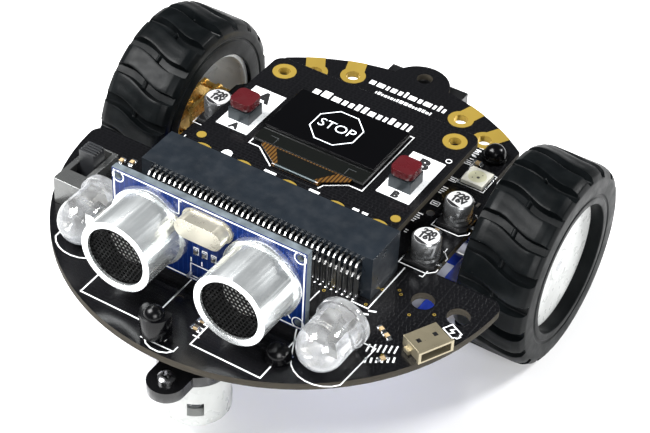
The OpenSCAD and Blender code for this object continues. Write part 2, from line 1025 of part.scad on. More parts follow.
module caster_housing() {
  ball_r = ball_d / 2;
  color([0.94, 0.94, 0.93])
    translate([0, -caster_y, 0])
      difference() {
        intersection() {
          translate([0, 0, 2.4])
            cylinder(d = caster_d, h = plate_z - 2.4);
          translate([0, 0, 10.4])
            sphere(r = 9.6);
        }
        translate([0, 0, ball_r])
          sphere(r = ball_r + 0.3);
        translate([0, 0, ball_r])
          cylinder(r = ball_r + 0.3, h = 6.6);
        for (a = [0 : 90 : 270])
          rotate(a + 34)
            translate([0, -6, 8.7])
              cube([3.4, 8, 3.4], center = true);
      }
}

module caster_ball() {
  color([0.8, 0.81, 0.83])
    translate([0, -caster_y, ball_d / 2])
      sphere(d = ball_d);
}

// ---- plug-in controller ----

module controller_outline() {
  translate([0, (ctrl_front + ctrl_back) / 2])
    rounded(ctrl_w, ctrl_l, 2.5);
}

module controller_board() {
  color([0.03, 0.03, 0.035])
    translate([ctrl_x, 0, 0]) {
      difference() {
        translate([0, 0, ctrl_z])
          linear_extrude(pcb_t)
            controller_outline();
        for (s = [-1, 1])
          translate([s * fix_pitch / 2, fix_y, ctrl_z - 1])
            cylinder(r = fix_r + plating_t, h = pcb_t + 2);
        for (x = clip_xs)
          translate([x, clip_y, ctrl_z - 1])
            cylinder(r = clip_r + plating_t, h = pcb_t + 2);
      }
      translate([-4, 8, ctrl_z - 0.95])
        cube([7, 7, 1]);
      for (x = [-14, 8])
        translate([x, 3, ctrl_z - 1.4])
          cube([4, 5, 1.5]);
    }
}

module controller_plating() {
  color([0.85, 0.66, 0.25])
    translate([ctrl_x, 0, 0]) {
      for (s = [-1, 1])
        translate([s * fix_pitch / 2, fix_y, ctrl_z])
          plated_ring(fix_r, 2.65);
      for (x = clip_xs)
        translate([x, clip_y, ctrl_z])
          plated_ring(clip_r, 2.9);
      for (s = [-1, 1])
        translate([s * 23.6, -3.2, ctrl_top])
          cylinder(r = 1.05, h = plating_t);
    }
}

module plated_ring(r_in, r_out) {
  difference() {
    union() {
      cylinder(r = r_in + plating_t, h = pcb_t + plating_t);
      translate([0, 0, pcb_t])
        cylinder(r = r_out, h = plating_t);
    }
    translate([0, 0, -1])
      cylinder(r = r_in, h = pcb_t + 3);
  }
}

module display_panel() {
  color([0.05, 0.06, 0.07])
    translate([ctrl_x - 0.2, 0, 0]) {
      translate([-12.6, 3, ctrl_top])
        cube([25.2, 16.5, 0.5]);
      translate([-13.35, 1.2, ctrl_top + 0.5])
        cube([26.7, 19.3, 0.7]);
    }
}

module display_glass() {
  color([0.01, 0.01, 0.012])
    translate([ctrl_x - 13.55, 5.4, ctrl_top + 1.2])
      cube([26.7, 14.9, 0.7]);
}

module display_flex() {
  z = ctrl_top + 0.5;
  fold_y = -3.3;
  color([0.75, 0.5, 0.15])
    translate([ctrl_x - 0.2, 0, 0]) {
      translate([0, 0, z + 0.36])
        linear_extrude(0.14)
          polygon([[-10.8, 1.2], [-10.8, 0.3], [-5.6, fold_y], [5.6, fold_y], [10.8, 0.3], [10.8, 1.2]]);
      translate([-5.6, fold_y, z])
        along_x()
          linear_extrude(11.2)
            difference() {
              intersection() {
                circle(r = 0.5);
                translate([-1, -1])
                  square([1, 2]);
              }
              circle(r = 0.36);
            }
      translate([-5.6, fold_y, z - 0.5])
        cube([11.2, 4.6, 0.14]);
    }
}

module button_places() {
  for (s = [-1, 1])
    translate([ctrl_x + s * button_pitch / 2, button_y, ctrl_top])
      children();
}

module button_cases() {
  color([0.35, 0.38, 0.4])
    button_places()
      difference() {
        union() {
          translate([-button_s / 2, -button_s / 2, 0])
            cube([button_s, button_s, button_h]);
          for (s = [-1, 1], t = [-1, 1])
            translate([s * 1.95, t * 1.95, button_h - 0.1])
              cylinder(r = 0.45, h = 0.25);
        }
        translate([0, 0, button_h - 1.8])
          cylinder(r = 1.8, h = 3);
      }
}

module button_cap(side) {
  color([0.42, 0.05, 0.07])
    translate([ctrl_x + side * button_pitch / 2, button_y, ctrl_top]) {
      translate([0, 0, button_h - 1.2])
        cylinder(r = 1.6, h = 2);
      translate([0, 0, button_h + button_travel + 0.2])
        linear_extrude(1.7)
          rounded(cap_s, cap_s, 1.4);
    }
}

base_board();
tab_plating();
edge_connector();
edge_contacts();
rear_socket();
sensor_board();
sensor_header();
sensor_pins();
transducer_can(-1);  // transmitter_can
transducer_can(1);  // receiver_can
sensor_grilles();
sensor_cores();
sensor_crystal();
sensor_chips();
lamp(lamp_places[0]);  // lamp_left
lamp(lamp_places[1]);  // lamp_right
lamp_frame(lamp_places[0]);  // lamp_leads_left
lamp_frame(lamp_places[1]);  // lamp_leads_right
ir_receiver();
ir_receiver_legs();
light_sensor();
switch_case();
switch_knob();
usb_shell();
usb_tongue();
capacitor_cans();
capacitor_bases();
rgb_bodies();
rgb_lenses();
chip_parts();
battery_pack();
battery_pad();
motor(-1);  // motor_left
motor(1);  // motor_right
gearbox(-1);  // gearbox_left
gearbox(1);  // gearbox_right
lay_gear(-1);  // lay_gear_left
lay_gear(1);  // lay_gear_right
rotor(-1);  // rotor_left
rotor(1);  // rotor_right
motor_brackets();
bracket_screws();
tyre(-1);  // tyre_left
tyre(1);  // tyre_right
hub(-1);  // hub_left
hub(1);  // hub_right
axle(-1);  // axle_left
axle(1);  // axle_right
caster_bracket();
caster_fasteners();
caster_housing();
caster_ball();
controller_board();
controller_plating();
display_glass();
display_panel();
display_flex();
button_cases();
button_cap(-1);  // button_cap_a
button_cap(1);  // button_cap_b
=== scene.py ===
"""Two wheel robot car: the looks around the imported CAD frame.

Every CAD node keeps its shape and gets a procedural material. The two tyres and the two sensor
grilles are replaced by finer meshes, and thin pieces add the printing, the solder, the display's
picture and the labels. Lengths in the helper calls are in millimetres, as in the CAD source.
"""
import math
import random

import bmesh
import bpy
from mathutils import Matrix, Quaternion, Vector


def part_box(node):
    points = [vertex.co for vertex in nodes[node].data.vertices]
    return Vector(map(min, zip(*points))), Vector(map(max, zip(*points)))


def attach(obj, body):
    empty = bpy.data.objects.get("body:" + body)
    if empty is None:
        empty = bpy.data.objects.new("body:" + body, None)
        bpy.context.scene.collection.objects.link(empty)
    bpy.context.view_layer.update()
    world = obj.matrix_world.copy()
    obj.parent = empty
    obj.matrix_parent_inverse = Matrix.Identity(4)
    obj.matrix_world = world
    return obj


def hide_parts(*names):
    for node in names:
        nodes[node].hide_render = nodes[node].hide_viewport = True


MM = 0.001
PRINT_T = 0.04                     # thickness of the printing on the boards
CONTACTS = 40                      # contacts along the edge connector
CONTACT_PITCH = 1.27
SOCKET_TURN = math.radians(-27)    # the charging socket stands askew
LED_X, LED_Y = 26.8, 25.8          # the colour LEDs, right and left
CAPACITORS = ((29.9, 11.55), (-29.9, 11.55), (30, -2.05))
BRICK_HOLES = ((36, -13.2), (44, -13.2))
SENSOR_RESISTORS = (-2.6, -0.6, 1.5)

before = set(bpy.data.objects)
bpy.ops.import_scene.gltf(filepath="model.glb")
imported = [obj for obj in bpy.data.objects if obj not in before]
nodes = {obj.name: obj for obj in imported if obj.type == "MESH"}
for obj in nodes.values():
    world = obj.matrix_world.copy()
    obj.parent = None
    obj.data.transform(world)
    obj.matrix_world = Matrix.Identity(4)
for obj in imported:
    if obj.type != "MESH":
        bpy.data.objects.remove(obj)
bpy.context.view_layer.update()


def low(node):
    """Lowest corner of a CAD node, in millimetres."""
    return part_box(node)[0] / MM


def high(node):
    """Highest corner of a CAD node, in millimetres."""
    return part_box(node)[1] / MM


def centre(node):
    """Middle of a CAD node's box, in millimetres."""
    return (low(node) + high(node)) / 2


# ---------------------------------------------------------------- measured places

board_top = low("capacitor_bases").z
control_top = low("button_cases").z
glass_top = high("display_glass").z
sensor_face = low("sensor_board").y
control_x = centre("controller_board").x
wheel_radius = (high("tyre_left").z - low("tyre_left").z) / 2
wheel_centre = {side: centre(f"tyre_{side}") for side in ("left", "right")}
tyre_width = high("tyre_right").x - low("tyre_right").x
rng = random.Random(7)


# ---------------------------------------------------------------- camera, light and floor

def look_at(obj, target):
    """Turn a light so that it looks at a point."""
    obj.rotation_mode = "QUATERNION"
    obj.rotation_quaternion = (Vector(target) - obj.location).to_track_quat("-Z", "Y")


def make_camera():
    """The camera stands in front of the right wheel, looks down and is tilted a little."""
    azimuth, elevation, tilt = math.radians(30.05), math.radians(40.94), math.radians(3.06)
    back = Vector((
        math.sin(azimuth) * math.cos(elevation),
        -math.cos(azimuth) * math.cos(elevation),
        math.sin(elevation),
    ))
    data = bpy.data.cameras.new("camera")
    data.sensor_width = 36
    data.lens = 108.7
    camera = bpy.data.objects.new("camera", data)
    camera.location = (0.15976, -0.26749, 0.29568)
    camera.rotation_mode = "QUATERNION"
    camera.rotation_quaternion = back.to_track_quat("Z", "Y") @ Quaternion((0, 0, 1), tilt)
    bpy.context.scene.collection.objects.link(camera)
    bpy.context.scene.camera = camera


def area_light(name, place, size, power):
    """A soft square lamp that looks at the middle of the car."""
    data = bpy.data.lights.new(name, "AREA")
    data.energy = power
    data.size = size
    light = bpy.data.objects.new(name, data)
    light.location = place
    look_at(light, (0, 0, 0.03))
    bpy.context.scene.collection.objects.link(light)


def make_studio():
    """Three soft lamps and a pale surround."""
    area_light("key", (-0.35, -0.25, 0.62), 0.42, 14.5)
    area_light("fill", (0.55, -0.5, 0.42), 0.4, 7.5)
    area_light("rim", (0.45, 0.5, 0.5), 0.2, 5)
    world = bpy.data.worlds.new("studio")
    bpy.context.scene.world = world
    world.use_nodes = True
    background = world.node_tree.nodes["Background"]
    background.inputs["Color"].default_value = (0.9, 0.95, 1, 1)
    background.inputs["Strength"].default_value = 0.14
    bpy.context.scene.view_settings.view_transform = "Standard"


# ---------------------------------------------------------------- materials

class Surface:
    """A node material built round one Principled shader."""

    def __init__(self, name, colour, roughness, metallic=0.0, **sockets):
        self.material = bpy.data.materials.new(name)
        self.material.use_nodes = True
        self.tree = self.material.node_tree
        self.shader = self.tree.nodes["Principled BSDF"]
        self.colour = colour
        self.set("Base Color", (*colour, 1))
        self.set("Roughness", roughness)
        self.set("Metallic", metallic)
        for name, value in sockets.items():
            self.set(name.replace("_", " "), value)
        self.coordinates = self.add("ShaderNodeTexCoord").outputs["Object"]
        self.normal = None

    def set(self, socket, value):
        self.shader.inputs[socket].default_value = value

    def add(self, kind, inputs=None, **settings):
        """A new node with its settings, its constants and its links."""
        node = self.tree.nodes.new(kind)
        for key, value in settings.items():
            setattr(node, key, value)
        for key, value in (inputs or {}).items():
            if isinstance(value, bpy.types.NodeSocket):
                self.tree.links.new(value, node.inputs[key])
            else:
                node.inputs[key].default_value = value
        return node

    def link(self, output, socket):
        self.tree.links.new(output, self.shader.inputs[socket])
        return self

    def stretched(self, scale):
        """Object coordinates stretched by a factor on each axis."""
        node = self.add("ShaderNodeMapping", {"Vector": self.coordinates, "Scale": scale})
        return node.outputs["Vector"]

    def noise(self, size, detail=4.0, stretch=None):
        """Noise whose features are about size millimetres wide."""
        where = self.stretched(stretch) if stretch else self.coordinates
        node = self.add("ShaderNodeTexNoise", {"Vector": where, "Scale": 1 / (size * MM), "Detail": detail})
        return node.outputs["Fac"]

    def ramp(self, factor, stops):
        """A colour ramp from (position, colour) pairs."""
        node = self.add("ShaderNodeValToRGB", {"Fac": factor})
        elements = node.color_ramp.elements
        while len(elements) < len(stops):
            elements.new(0.5)
        for element, (position, colour) in zip(elements, stops):
            element.position = position
            element.color = (*colour, 1)
        return node.outputs["Color"]

    def spread(self, factor, lowest, highest, start=0.35, end=0.65):
        """A factor remapped to a range of numbers."""
        node = self.add("ShaderNodeMapRange", {
            "Value": factor, "From Min": start, "From Max": end, "To Min": lowest, "To Max": highest,
        })
        return node.outputs["Result"]

    def mix(self, factor, first, second):
        """Colour first where the factor is 0, second where it is 1."""
        node = self.add("ShaderNodeMix", data_type="RGBA")
        for socket, value in ((0, factor), (6, first), (7, second)):
            if isinstance(value, bpy.types.NodeSocket):
                self.tree.links.new(value, node.inputs[socket])
            else:
                node.inputs[socket].default_value = value if socket == 0 else (*value, 1)
        return node.outputs[2]

    def shade(self, size, dark, light):
        """Vary the colour between a darker and a lighter tone."""
        stops = [(at, tuple(c * k for c in self.colour)) for at, k in ((0.3, dark), (0.7, light))]
        return self.link(self.ramp(self.noise(size), stops), "Base Color")

    def worn(self, size, lowest, highest):
        """Vary the roughness."""
        return self.link(self.spread(self.noise(size), lowest, highest), "Roughness")

    def bumpy(self, height, depth):
        """Add relief whose height is depth millimetres at factor 1."""
        inputs = {"Height": height, "Distance": depth * MM, "Strength": 1.0}
        if self.normal is not None:
            inputs["Normal"] = self.normal
        self.normal = self.add("ShaderNodeBump", inputs).outputs["Normal"]
        return self.link(self.normal, "Normal")

    def grained(self, size, depth, stretch=None):
        """Add a fine relief of noise."""
        return self.bumpy(self.noise(size, 2.0, stretch), depth)

    def facing(self, axis):
        """1 on faces square to an axis, 0 on faces along it."""
        geometry = self.add("ShaderNodeNewGeometry")
        parts = self.add("ShaderNodeSeparateXYZ", {"Vector": geometry.outputs["True Normal"]})
        size = self.add("ShaderNodeMath", {0: parts.outputs[axis]}, operation="ABSOLUTE")
        return size.outputs["Value"]


def board_material(name, mask, edge, trace_size, axis="Z"):
    """Glossy solder mask over faint copper tracks, with a bare glass-fibre edge."""
    s = Surface(name, mask, 0.2, Specular_IOR_Level=0.18)
    tracks = s.add("ShaderNodeTexBrick", {
        "Vector": s.stretched((1, 1, 0)), "Scale": 1 / (trace_size * MM), "Mortar Size": 0.03,
        "Color1": (0, 0, 0, 1), "Color2": (0.25, 0.25, 0.25, 1), "Mortar": (1, 1, 1, 1),
    }, offset=0.37, squash=0.6)
    copper = s.mix(tracks.outputs["Fac"], mask, tuple(c * 1.8 + 0.002 for c in mask))
    flat = s.facing(axis)
    layers = s.add("ShaderNodeTexNoise", {
        "Vector": s.stretched((400, 400, 6000)), "Scale": 1.0, "Detail": 3.0,
    })
    fibre = s.ramp(layers.outputs["Fac"], [
        (0.3, tuple(c * 0.55 for c in edge)), (0.7, tuple(min(1, c * 1.2) for c in edge)),
    ])
    s.link(s.mix(s.spread(flat, 0, 1, 0.3, 0.7), fibre, copper), "Base Color")
    s.link(s.spread(flat, 0.75, 0.2, 0.3, 0.7), "Roughness")
    s.bumpy(tracks.outputs["Fac"], 0.008)
    s.grained(0.5, 0.003)
    return s.material


def metal(name, colour, roughness, metallic=1.0):
    """Bare metal with uneven polish and a fine grain."""
    s = Surface(name, colour, roughness, metallic)
    s.shade(4.8, 0.94, 1.03)
    s.worn(3.0, roughness * 0.85, roughness * 1.2)
    return s.grained(0.6, 0.003).material


def plastic(name, colour, roughness, specular=0.5):
    """Moulded plastic with a fine grain and a slightly uneven gloss."""
    s = Surface(name, colour, roughness, Specular_IOR_Level=specular)
    s.shade(7, 0.86, 1.1)
    s.worn(2.5, roughness * 0.8, roughness * 1.3)
    return s.grained(0.25, 0.012).material


def clear_epoxy():
    """Water-clear lamp resin with faint flow lines and a soft haze of painted glow, which stands in for the
    bright surroundings seen through it.
    """
    s = Surface("clear_epoxy", (1.0, 1.0, 1.0), 0.04, Transmission_Weight=0.9, IOR=1.5)
    # Painted glow: patches of faint bluish-white emission stand in for the bright surroundings seen through
    # the clear resin.
    s.set("Emission Color", (0.86, 0.92, 1.0, 1))
    s.link(s.spread(s.noise(2.6, 3), 0.0, 0.13, 0.4, 0.65), "Emission Strength")
    s.link(s.spread(s.noise(1.6), 0.02, 0.08), "Roughness")
    return s.grained(1.6, 0.03).material


def tyre_rubber():
    """Black rubber with a little pale dust."""
    s = Surface("tyre_rubber", (0.0025, 0.003, 0.0033), 0.4, Specular_IOR_Level=0.08)
    dust = s.spread(s.noise(5, 6), 0, 1, 0.45, 0.75)
    s.link(s.mix(dust, (0.0018, 0.0024, 0.0027), (0.0045, 0.0055, 0.006)), "Base Color")
    s.link(s.spread(s.noise(3, 5), 0.33, 0.46), "Roughness")
    s.grained(0.35, 0.012)
    return s.grained(2.5, 0.04).material


def inside_node(node, x, y, z):
    """A place in millimetres, in the object coordinates of a CAD node."""
    return nodes[node].matrix_world.inverted() @ (Vector((x, y, z)) * MM)


def brushed_can(node):
    """Drawn aluminium, brushed round its own axis, with painted shade on the inner wall behind the mouth's
    lip.
    """
    s = Surface(f"{node}_aluminium", (0.8, 0.83, 0.83), 0.26, 0.92)
    shade_radius = high(node).z - centre(node).z - 0.8
    axis = inside_node(node, centre(node).x, low(node).y + 1.6, centre(node).z)
    parts = s.add("ShaderNodeSeparateXYZ", {"Vector": s.coordinates})
    flat = s.add("ShaderNodeCombineXYZ", {"X": parts.outputs["X"], "Z": parts.outputs["Z"]})
    away = s.add("ShaderNodeVectorMath", {
        0: flat.outputs["Vector"], 1: (axis.x, 0, axis.z),
    }, operation="DISTANCE")
    inside = s.spread(away.outputs["Value"], 1, 0, (shade_radius - 0.1) * MM, shade_radius * MM)
    behind = s.spread(parts.outputs["Y"], 0, 1, axis.y, axis.y + 0.1 * MM)
    mask = s.add("ShaderNodeMath", {0: inside, 1: behind}, operation="MULTIPLY").outputs["Value"]
    tone = s.ramp(s.noise(9), [(0.3, (0.86, 0.89, 0.89)), (0.7, (0.92, 0.95, 0.95))])
    # Painted shade: the inner wall behind the lip is set nearly black, for the shade deep inside the can.
    s.link(s.mix(mask, tone, (0.05, 0.05, 0.05)), "Base Color")
    s.worn(3.0, 0.24, 0.27)
    return s.grained(0.6, 0.0002, (0.25, 6, 0.25)).material


def printing():
    """White printing ink, a little thin in places."""
    s = Surface("print_white", (0.88, 0.89, 0.9), 0.45)
    thin = s.spread(s.noise(0.35, 3), 0, 1, 0.58, 0.72)
    s.link(s.mix(thin, (0.9, 0.91, 0.92), (0.55, 0.56, 0.57)), "Base Color")
    return s.grained(0.2, 0.01).material


def picture():
    """Lit dots of the display."""
    s = Surface("display_light", (0.8, 0.85, 0.9), 0.3)
    s.set("Emission Color", (0.9, 0.95, 1.0, 1))
    s.set("Emission Strength", 0.7)
    dots = s.spread(s.noise(0.25, 2), 0.75, 1.0)
    s.link(s.mix(dots, (0.5, 0.55, 0.6), (0.85, 0.9, 0.95)), "Base Color")
    return s.material


def battery_sleeve():
    """Blue shrink film, slightly wrinkled."""
    s = Surface("battery_sleeve", (0.02, 0.05, 0.42), 0.22, Coat_Weight=0.4)
    s.shade(8, 0.75, 1.25)
    return s.grained(3, 0.12, (0.3, 2, 1)).material


def display_glass():
    """Nearly black polished glass."""
    s = Surface("display_black", (0.001, 0.001, 0.0012), 0.06, Specular_IOR_Level=0.12)
    s.link(s.spread(s.noise(6), 0.05, 0.1), "Roughness")
    s.link(s.mix(s.noise(20), (0.0006, 0.0006, 0.0008), (0.0016, 0.0016, 0.002)), "Base Color")
    return s.material


def display_substrate():
    """Dark glass with fine conductor lines running to the flex."""
    s = Surface("display_substrate", (0.004, 0.0045, 0.0045), 0.1, Specular_IOR_Level=0.25)
    wave = s.add("ShaderNodeTexWave", {"Vector": s.coordinates, "Scale": 900.0, "Distortion": 0.4})
    s.link(s.mix(wave.outputs["Fac"], (0.0015, 0.002, 0.002), (0.006, 0.0065, 0.0055)), "Base Color")
    return s.material


def flex_film():
    """Amber film with darker conductor lines."""
    s = Surface("flex_film", (0.2, 0.09, 0.02), 0.22, Coat_Weight=0.3)
    wave = s.add("ShaderNodeTexWave", {"Vector": s.coordinates, "Scale": 420.0, "Distortion": 0.2})
    s.link(s.mix(wave.outputs["Fac"], (0.012, 0.005, 0.0015), (0.11, 0.052, 0.01)), "Base Color")
    return s.grained(0.8, 0.02).material


def sensor_core():
    """The transducer's bright cone stands on a disc painted nearly black, as painted shade deep inside the
    can.
    """
    s = Surface("sensor_core", (0.8, 0.8, 0.78), 0.4)
    place = inside_node("sensor_cores", 0, high("sensor_cores").y - 3.4, 0)
    parts = s.add("ShaderNodeSeparateXYZ", {"Vector": s.coordinates})
    disc = s.spread(parts.outputs["Y"], 0, 1, place.y - 0.1 * MM, place.y + 0.1 * MM)
    # Painted shade: the disc behind the cone is set nearly black, for the shade at the back of the can.
    s.link(s.mix(disc, (0.95, 0.95, 0.93), (0.05, 0.05, 0.05)), "Base Color")
    return s.grained(0.3, 0.01).material


def floor_material():
    """Plain pale matt floor."""
    s = Surface("floor", (0.93, 0.93, 0.93), 0.7)
    s.shade(60, 0.985, 1.01)
    return s.grained(2, 0.01).material


METAL = {   # colour, roughness and, where it is not 1, metallic
    "gold": ((0.58, 0.4, 0.075), 0.22, 0.65),
    "tin": ((0.66, 0.66, 0.64), 0.28),
    "contact": ((0.42, 0.42, 0.41), 0.36),
    "crystal_can": ((0.5, 0.475, 0.395), 0.3, 0.75),
    "lead_frame": ((0.8, 0.78, 0.72), 0.3),
    "switch_steel": ((0.16, 0.163, 0.16), 0.28, 0.75),
    "usb_steel": ((0.32, 0.28, 0.19), 0.3, 0.75),
    # Painted light: the capacitors' aluminium has two copies, a dark one for the cans as painted shade and a
    # pale, less metallic one for the lids as the painted lit top.
    "capacitor_shaded_can": ((0.23, 0.235, 0.24), 0.25, 0.85),
    "capacitor_lit_lid": ((0.62, 0.62, 0.62), 0.35, 0.3),
    "motor_steel": ((0.62, 0.63, 0.65), 0.3),
    "brass": ((0.78, 0.5, 0.14), 0.27, 0.8),
    "screw_steel": ((0.6, 0.6, 0.61), 0.3),
    "black_screw": ((0.3, 0.3, 0.31), 0.24),
    "ball_steel": ((0.83, 0.84, 0.86), 0.06),
    "shaft_steel": ((0.75, 0.76, 0.78), 0.2),
    "fold": ((0.02, 0.026, 0.028), 0.3, 0.8),
    "button_cover": ((0.02, 0.026, 0.03), 0.32, 0.45),
    "solder": ((0.7, 0.71, 0.72), 0.18),
}
PLASTIC = {   # colour, roughness and, where it is not 0.5, specular level
    "connector": ((0.0075, 0.0105, 0.0145), 0.34),
    "black": ((0.0045, 0.0045, 0.005), 0.34),
    "chip": ((0.018, 0.018, 0.02), 0.5),
    "white": ((0.56, 0.57, 0.56), 0.3),
    # Painted shade: the caster's white bowl gets a darker copy of the white plastic, so that its strongly
    # lit side does not wash out.
    "bowl": ((0.4, 0.41, 0.4), 0.3),
    "dark_epoxy": ((0.0012, 0.0012, 0.0016), 0.2, 0.2),
    "mesh": ((0.0012, 0.0012, 0.0013), 0.6, 0.08),
    "red": ((0.055, 0.004, 0.006), 0.28),
    "led_white": ((0.78, 0.77, 0.68), 0.4),
    "led_gel": ((0.72, 0.71, 0.5), 0.15),
    "knob": ((0.018, 0.019, 0.021), 0.38),
    "gloss_black": ((0.004, 0.004, 0.0045), 0.16),
    "parts": ((0.05, 0.045, 0.04), 0.45),
    "foam": ((0.75, 0.75, 0.72), 0.85),
    "label": ((0.62, 0.64, 0.75), 0.35),
    "tan_part": ((0.42, 0.3, 0.16), 0.5),
    "ink": ((0.012, 0.012, 0.013), 0.4),
}
look = {name: metal(name, *values) for name, values in METAL.items()}
look.update({name: plastic(name + "_plastic", *values) for name, values in PLASTIC.items()})
look.update({
    "black_board": board_material("solder_mask", (0.0025, 0.0025, 0.003), (0.034, 0.029, 0.021), 3.1),
    "blue_board": board_material("blue_mask", (0.003, 0.014, 0.085), (0.1, 0.12, 0.135), 2.3, "Y"),
    "epoxy": clear_epoxy(), "rubber": tyre_rubber(),
    "can_left": brushed_can("transmitter_can"), "can_right": brushed_can("receiver_can"),
    "print": printing(), "picture": picture(), "sleeve": battery_sleeve(),
    "glass": display_glass(), "substrate": display_substrate(), "film": flex_film(),
    "core": sensor_core(), "floor": floor_material(),
})

NODE_LOOK = {
    "base_board": "black_board", "tab_plating": "gold", "edge_connector": "connector",
    "edge_contacts": "contact", "rear_socket": "black", "sensor_board": "blue_board",
    "sensor_header": "black", "sensor_pins": "tin",
    "transmitter_can": "can_left", "receiver_can": "can_right",
    "sensor_cores": "core", "sensor_crystal": "crystal_can", "sensor_chips": "chip",
    "lamp_left": "epoxy", "lamp_right": "epoxy", "lamp_leads_left": "lead_frame",
    "lamp_leads_right": "lead_frame", "ir_receiver": "dark_epoxy", "ir_receiver_legs": "tin",
    "light_sensor": "dark_epoxy", "switch_case": "switch_steel", "switch_knob": "knob",
    "usb_shell": "usb_steel", "usb_tongue": "black", "capacitor_cans": "capacitor_shaded_can",
    "capacitor_bases": "black", "rgb_bodies": "led_white", "rgb_lenses": "led_gel",
    "chip_parts": "parts", "battery_pack": "sleeve", "battery_pad": "foam",
    "motor_left": "motor_steel", "motor_right": "motor_steel", "gearbox_left": "brass",
    "gearbox_right": "brass", "lay_gear_left": "brass", "lay_gear_right": "brass",
    "rotor_left": "brass", "rotor_right": "brass", "motor_brackets": "white",
    "bracket_screws": "screw_steel", "hub_left": "white", "hub_right": "white",
    "axle_left": "shaft_steel", "axle_right": "shaft_steel", "caster_bracket": "gloss_black",
    "caster_fasteners": "black_screw", "caster_housing": "bowl", "caster_ball": "ball_steel",
    "controller_board": "black_board", "controller_plating": "gold", "display_glass": "glass",
    "display_panel": "substrate", "display_flex": "film", "button_cases": "button_cover",
    "button_cap_a": "red", "button_cap_b": "red", "tyre_left": "rubber", "tyre_right": "rubber",
    "sensor_grilles": "mesh",
}

# Width in millimetres of the softened edges.
ROUNDED = {
    "edge_connector": 0.12, "sensor_header": 0.1, "sensor_crystal": 0.1, "sensor_chips": 0.08,
    "ir_receiver": 0.25, "light_sensor": 0.15, "switch_case": 0.12, "switch_knob": 0.12,
    "usb_shell": 0.12, "capacitor_bases": 0.15, "rgb_bodies": 0.15, "chip_parts": 0.06,
    "rear_socket": 0.15, "motor_brackets": 0.25, "caster_bracket": 0.4, "caster_housing": 0.3,
    "button_cases": 0.5, "button_cap_a": 0.5, "button_cap_b": 0.5, "display_glass": 0.08,
    "display_panel": 0.06, "hub_left": 0.2, "hub_right": 0.2, "transmitter_can": 0.15,
    "receiver_can": 0.15, "motor_left": 0.2, "motor_right": 0.2, "gearbox_left": 0.08,
    "gearbox_right": 0.08, "battery_pack": 0.3, "capacitor_cans": 0.1, "lamp_left": 0.15,
    "lamp_right": 0.15, "base_board": 0.04, "controller_board": 0.04, "sensor_board": 0.04,
}


def finish_node(node):
    """Give a CAD node its material, and soften its edges without moving its faces."""
    obj = nodes[node]
    obj.data.materials.clear()
    obj.data.materials.append(look[NODE_LOOK[node]])
    if node in ROUNDED:
        weld = obj.modifiers.new("weld", "WELD")
        weld.merge_threshold = 0.002 * MM
        bevel = obj.modifiers.new("soft_edges", "BEVEL")
        bevel.width = ROUNDED[node] * MM
        bevel.segments = 2
        bevel.limit_method = "ANGLE"
        bevel.angle_limit = math.radians(50)
        bevel.use_clamp_overlap = True
        bevel.harden_normals = True


# ---------------------------------------------------------------- mesh helpers

def new_object(name, mesh, material, body):
    """Link a mesh as a piece that rides on a body."""
    mesh.materials.clear()
    mesh.materials.append(look[material])
    obj = bpy.data.objects.new(name, mesh)
    bpy.context.scene.collection.objects.link(obj)
    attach(obj, body)
    return obj


def smooth(mesh, angle):
    """Smooth shading, with edges sharper than the angle kept crisp."""
    work = bmesh.new()
    work.from_mesh(mesh)
    for face in work.faces:
        face.smooth = True
    for edge in work.edges:
        edge.smooth = edge.is_manifold and edge.calc_face_angle(0) < math.radians(angle)
    work.to_mesh(mesh)
    work.free()
    return mesh


def mesh_of(name, points, faces):
    """A mesh from points in millimetres, with its faces turned outwards."""
    mesh = bpy.data.meshes.new(name)
    mesh.from_pydata([Vector(p) * MM for p in points], [], faces)
    work = bmesh.new()
    work.from_mesh(mesh)
    bmesh.ops.recalc_face_normals(work, faces=work.faces)
    work.to_mesh(mesh)
    work.free()
    return mesh


def circle(x, y, r, steps, start=0):
    """Points round a circle, the first one at an angle in degrees."""
    turns = [math.radians(start + 360 * i / steps) for i in range(steps)]
    return [(x + r * math.cos(t), y + r * math.sin(t)) for t in turns]


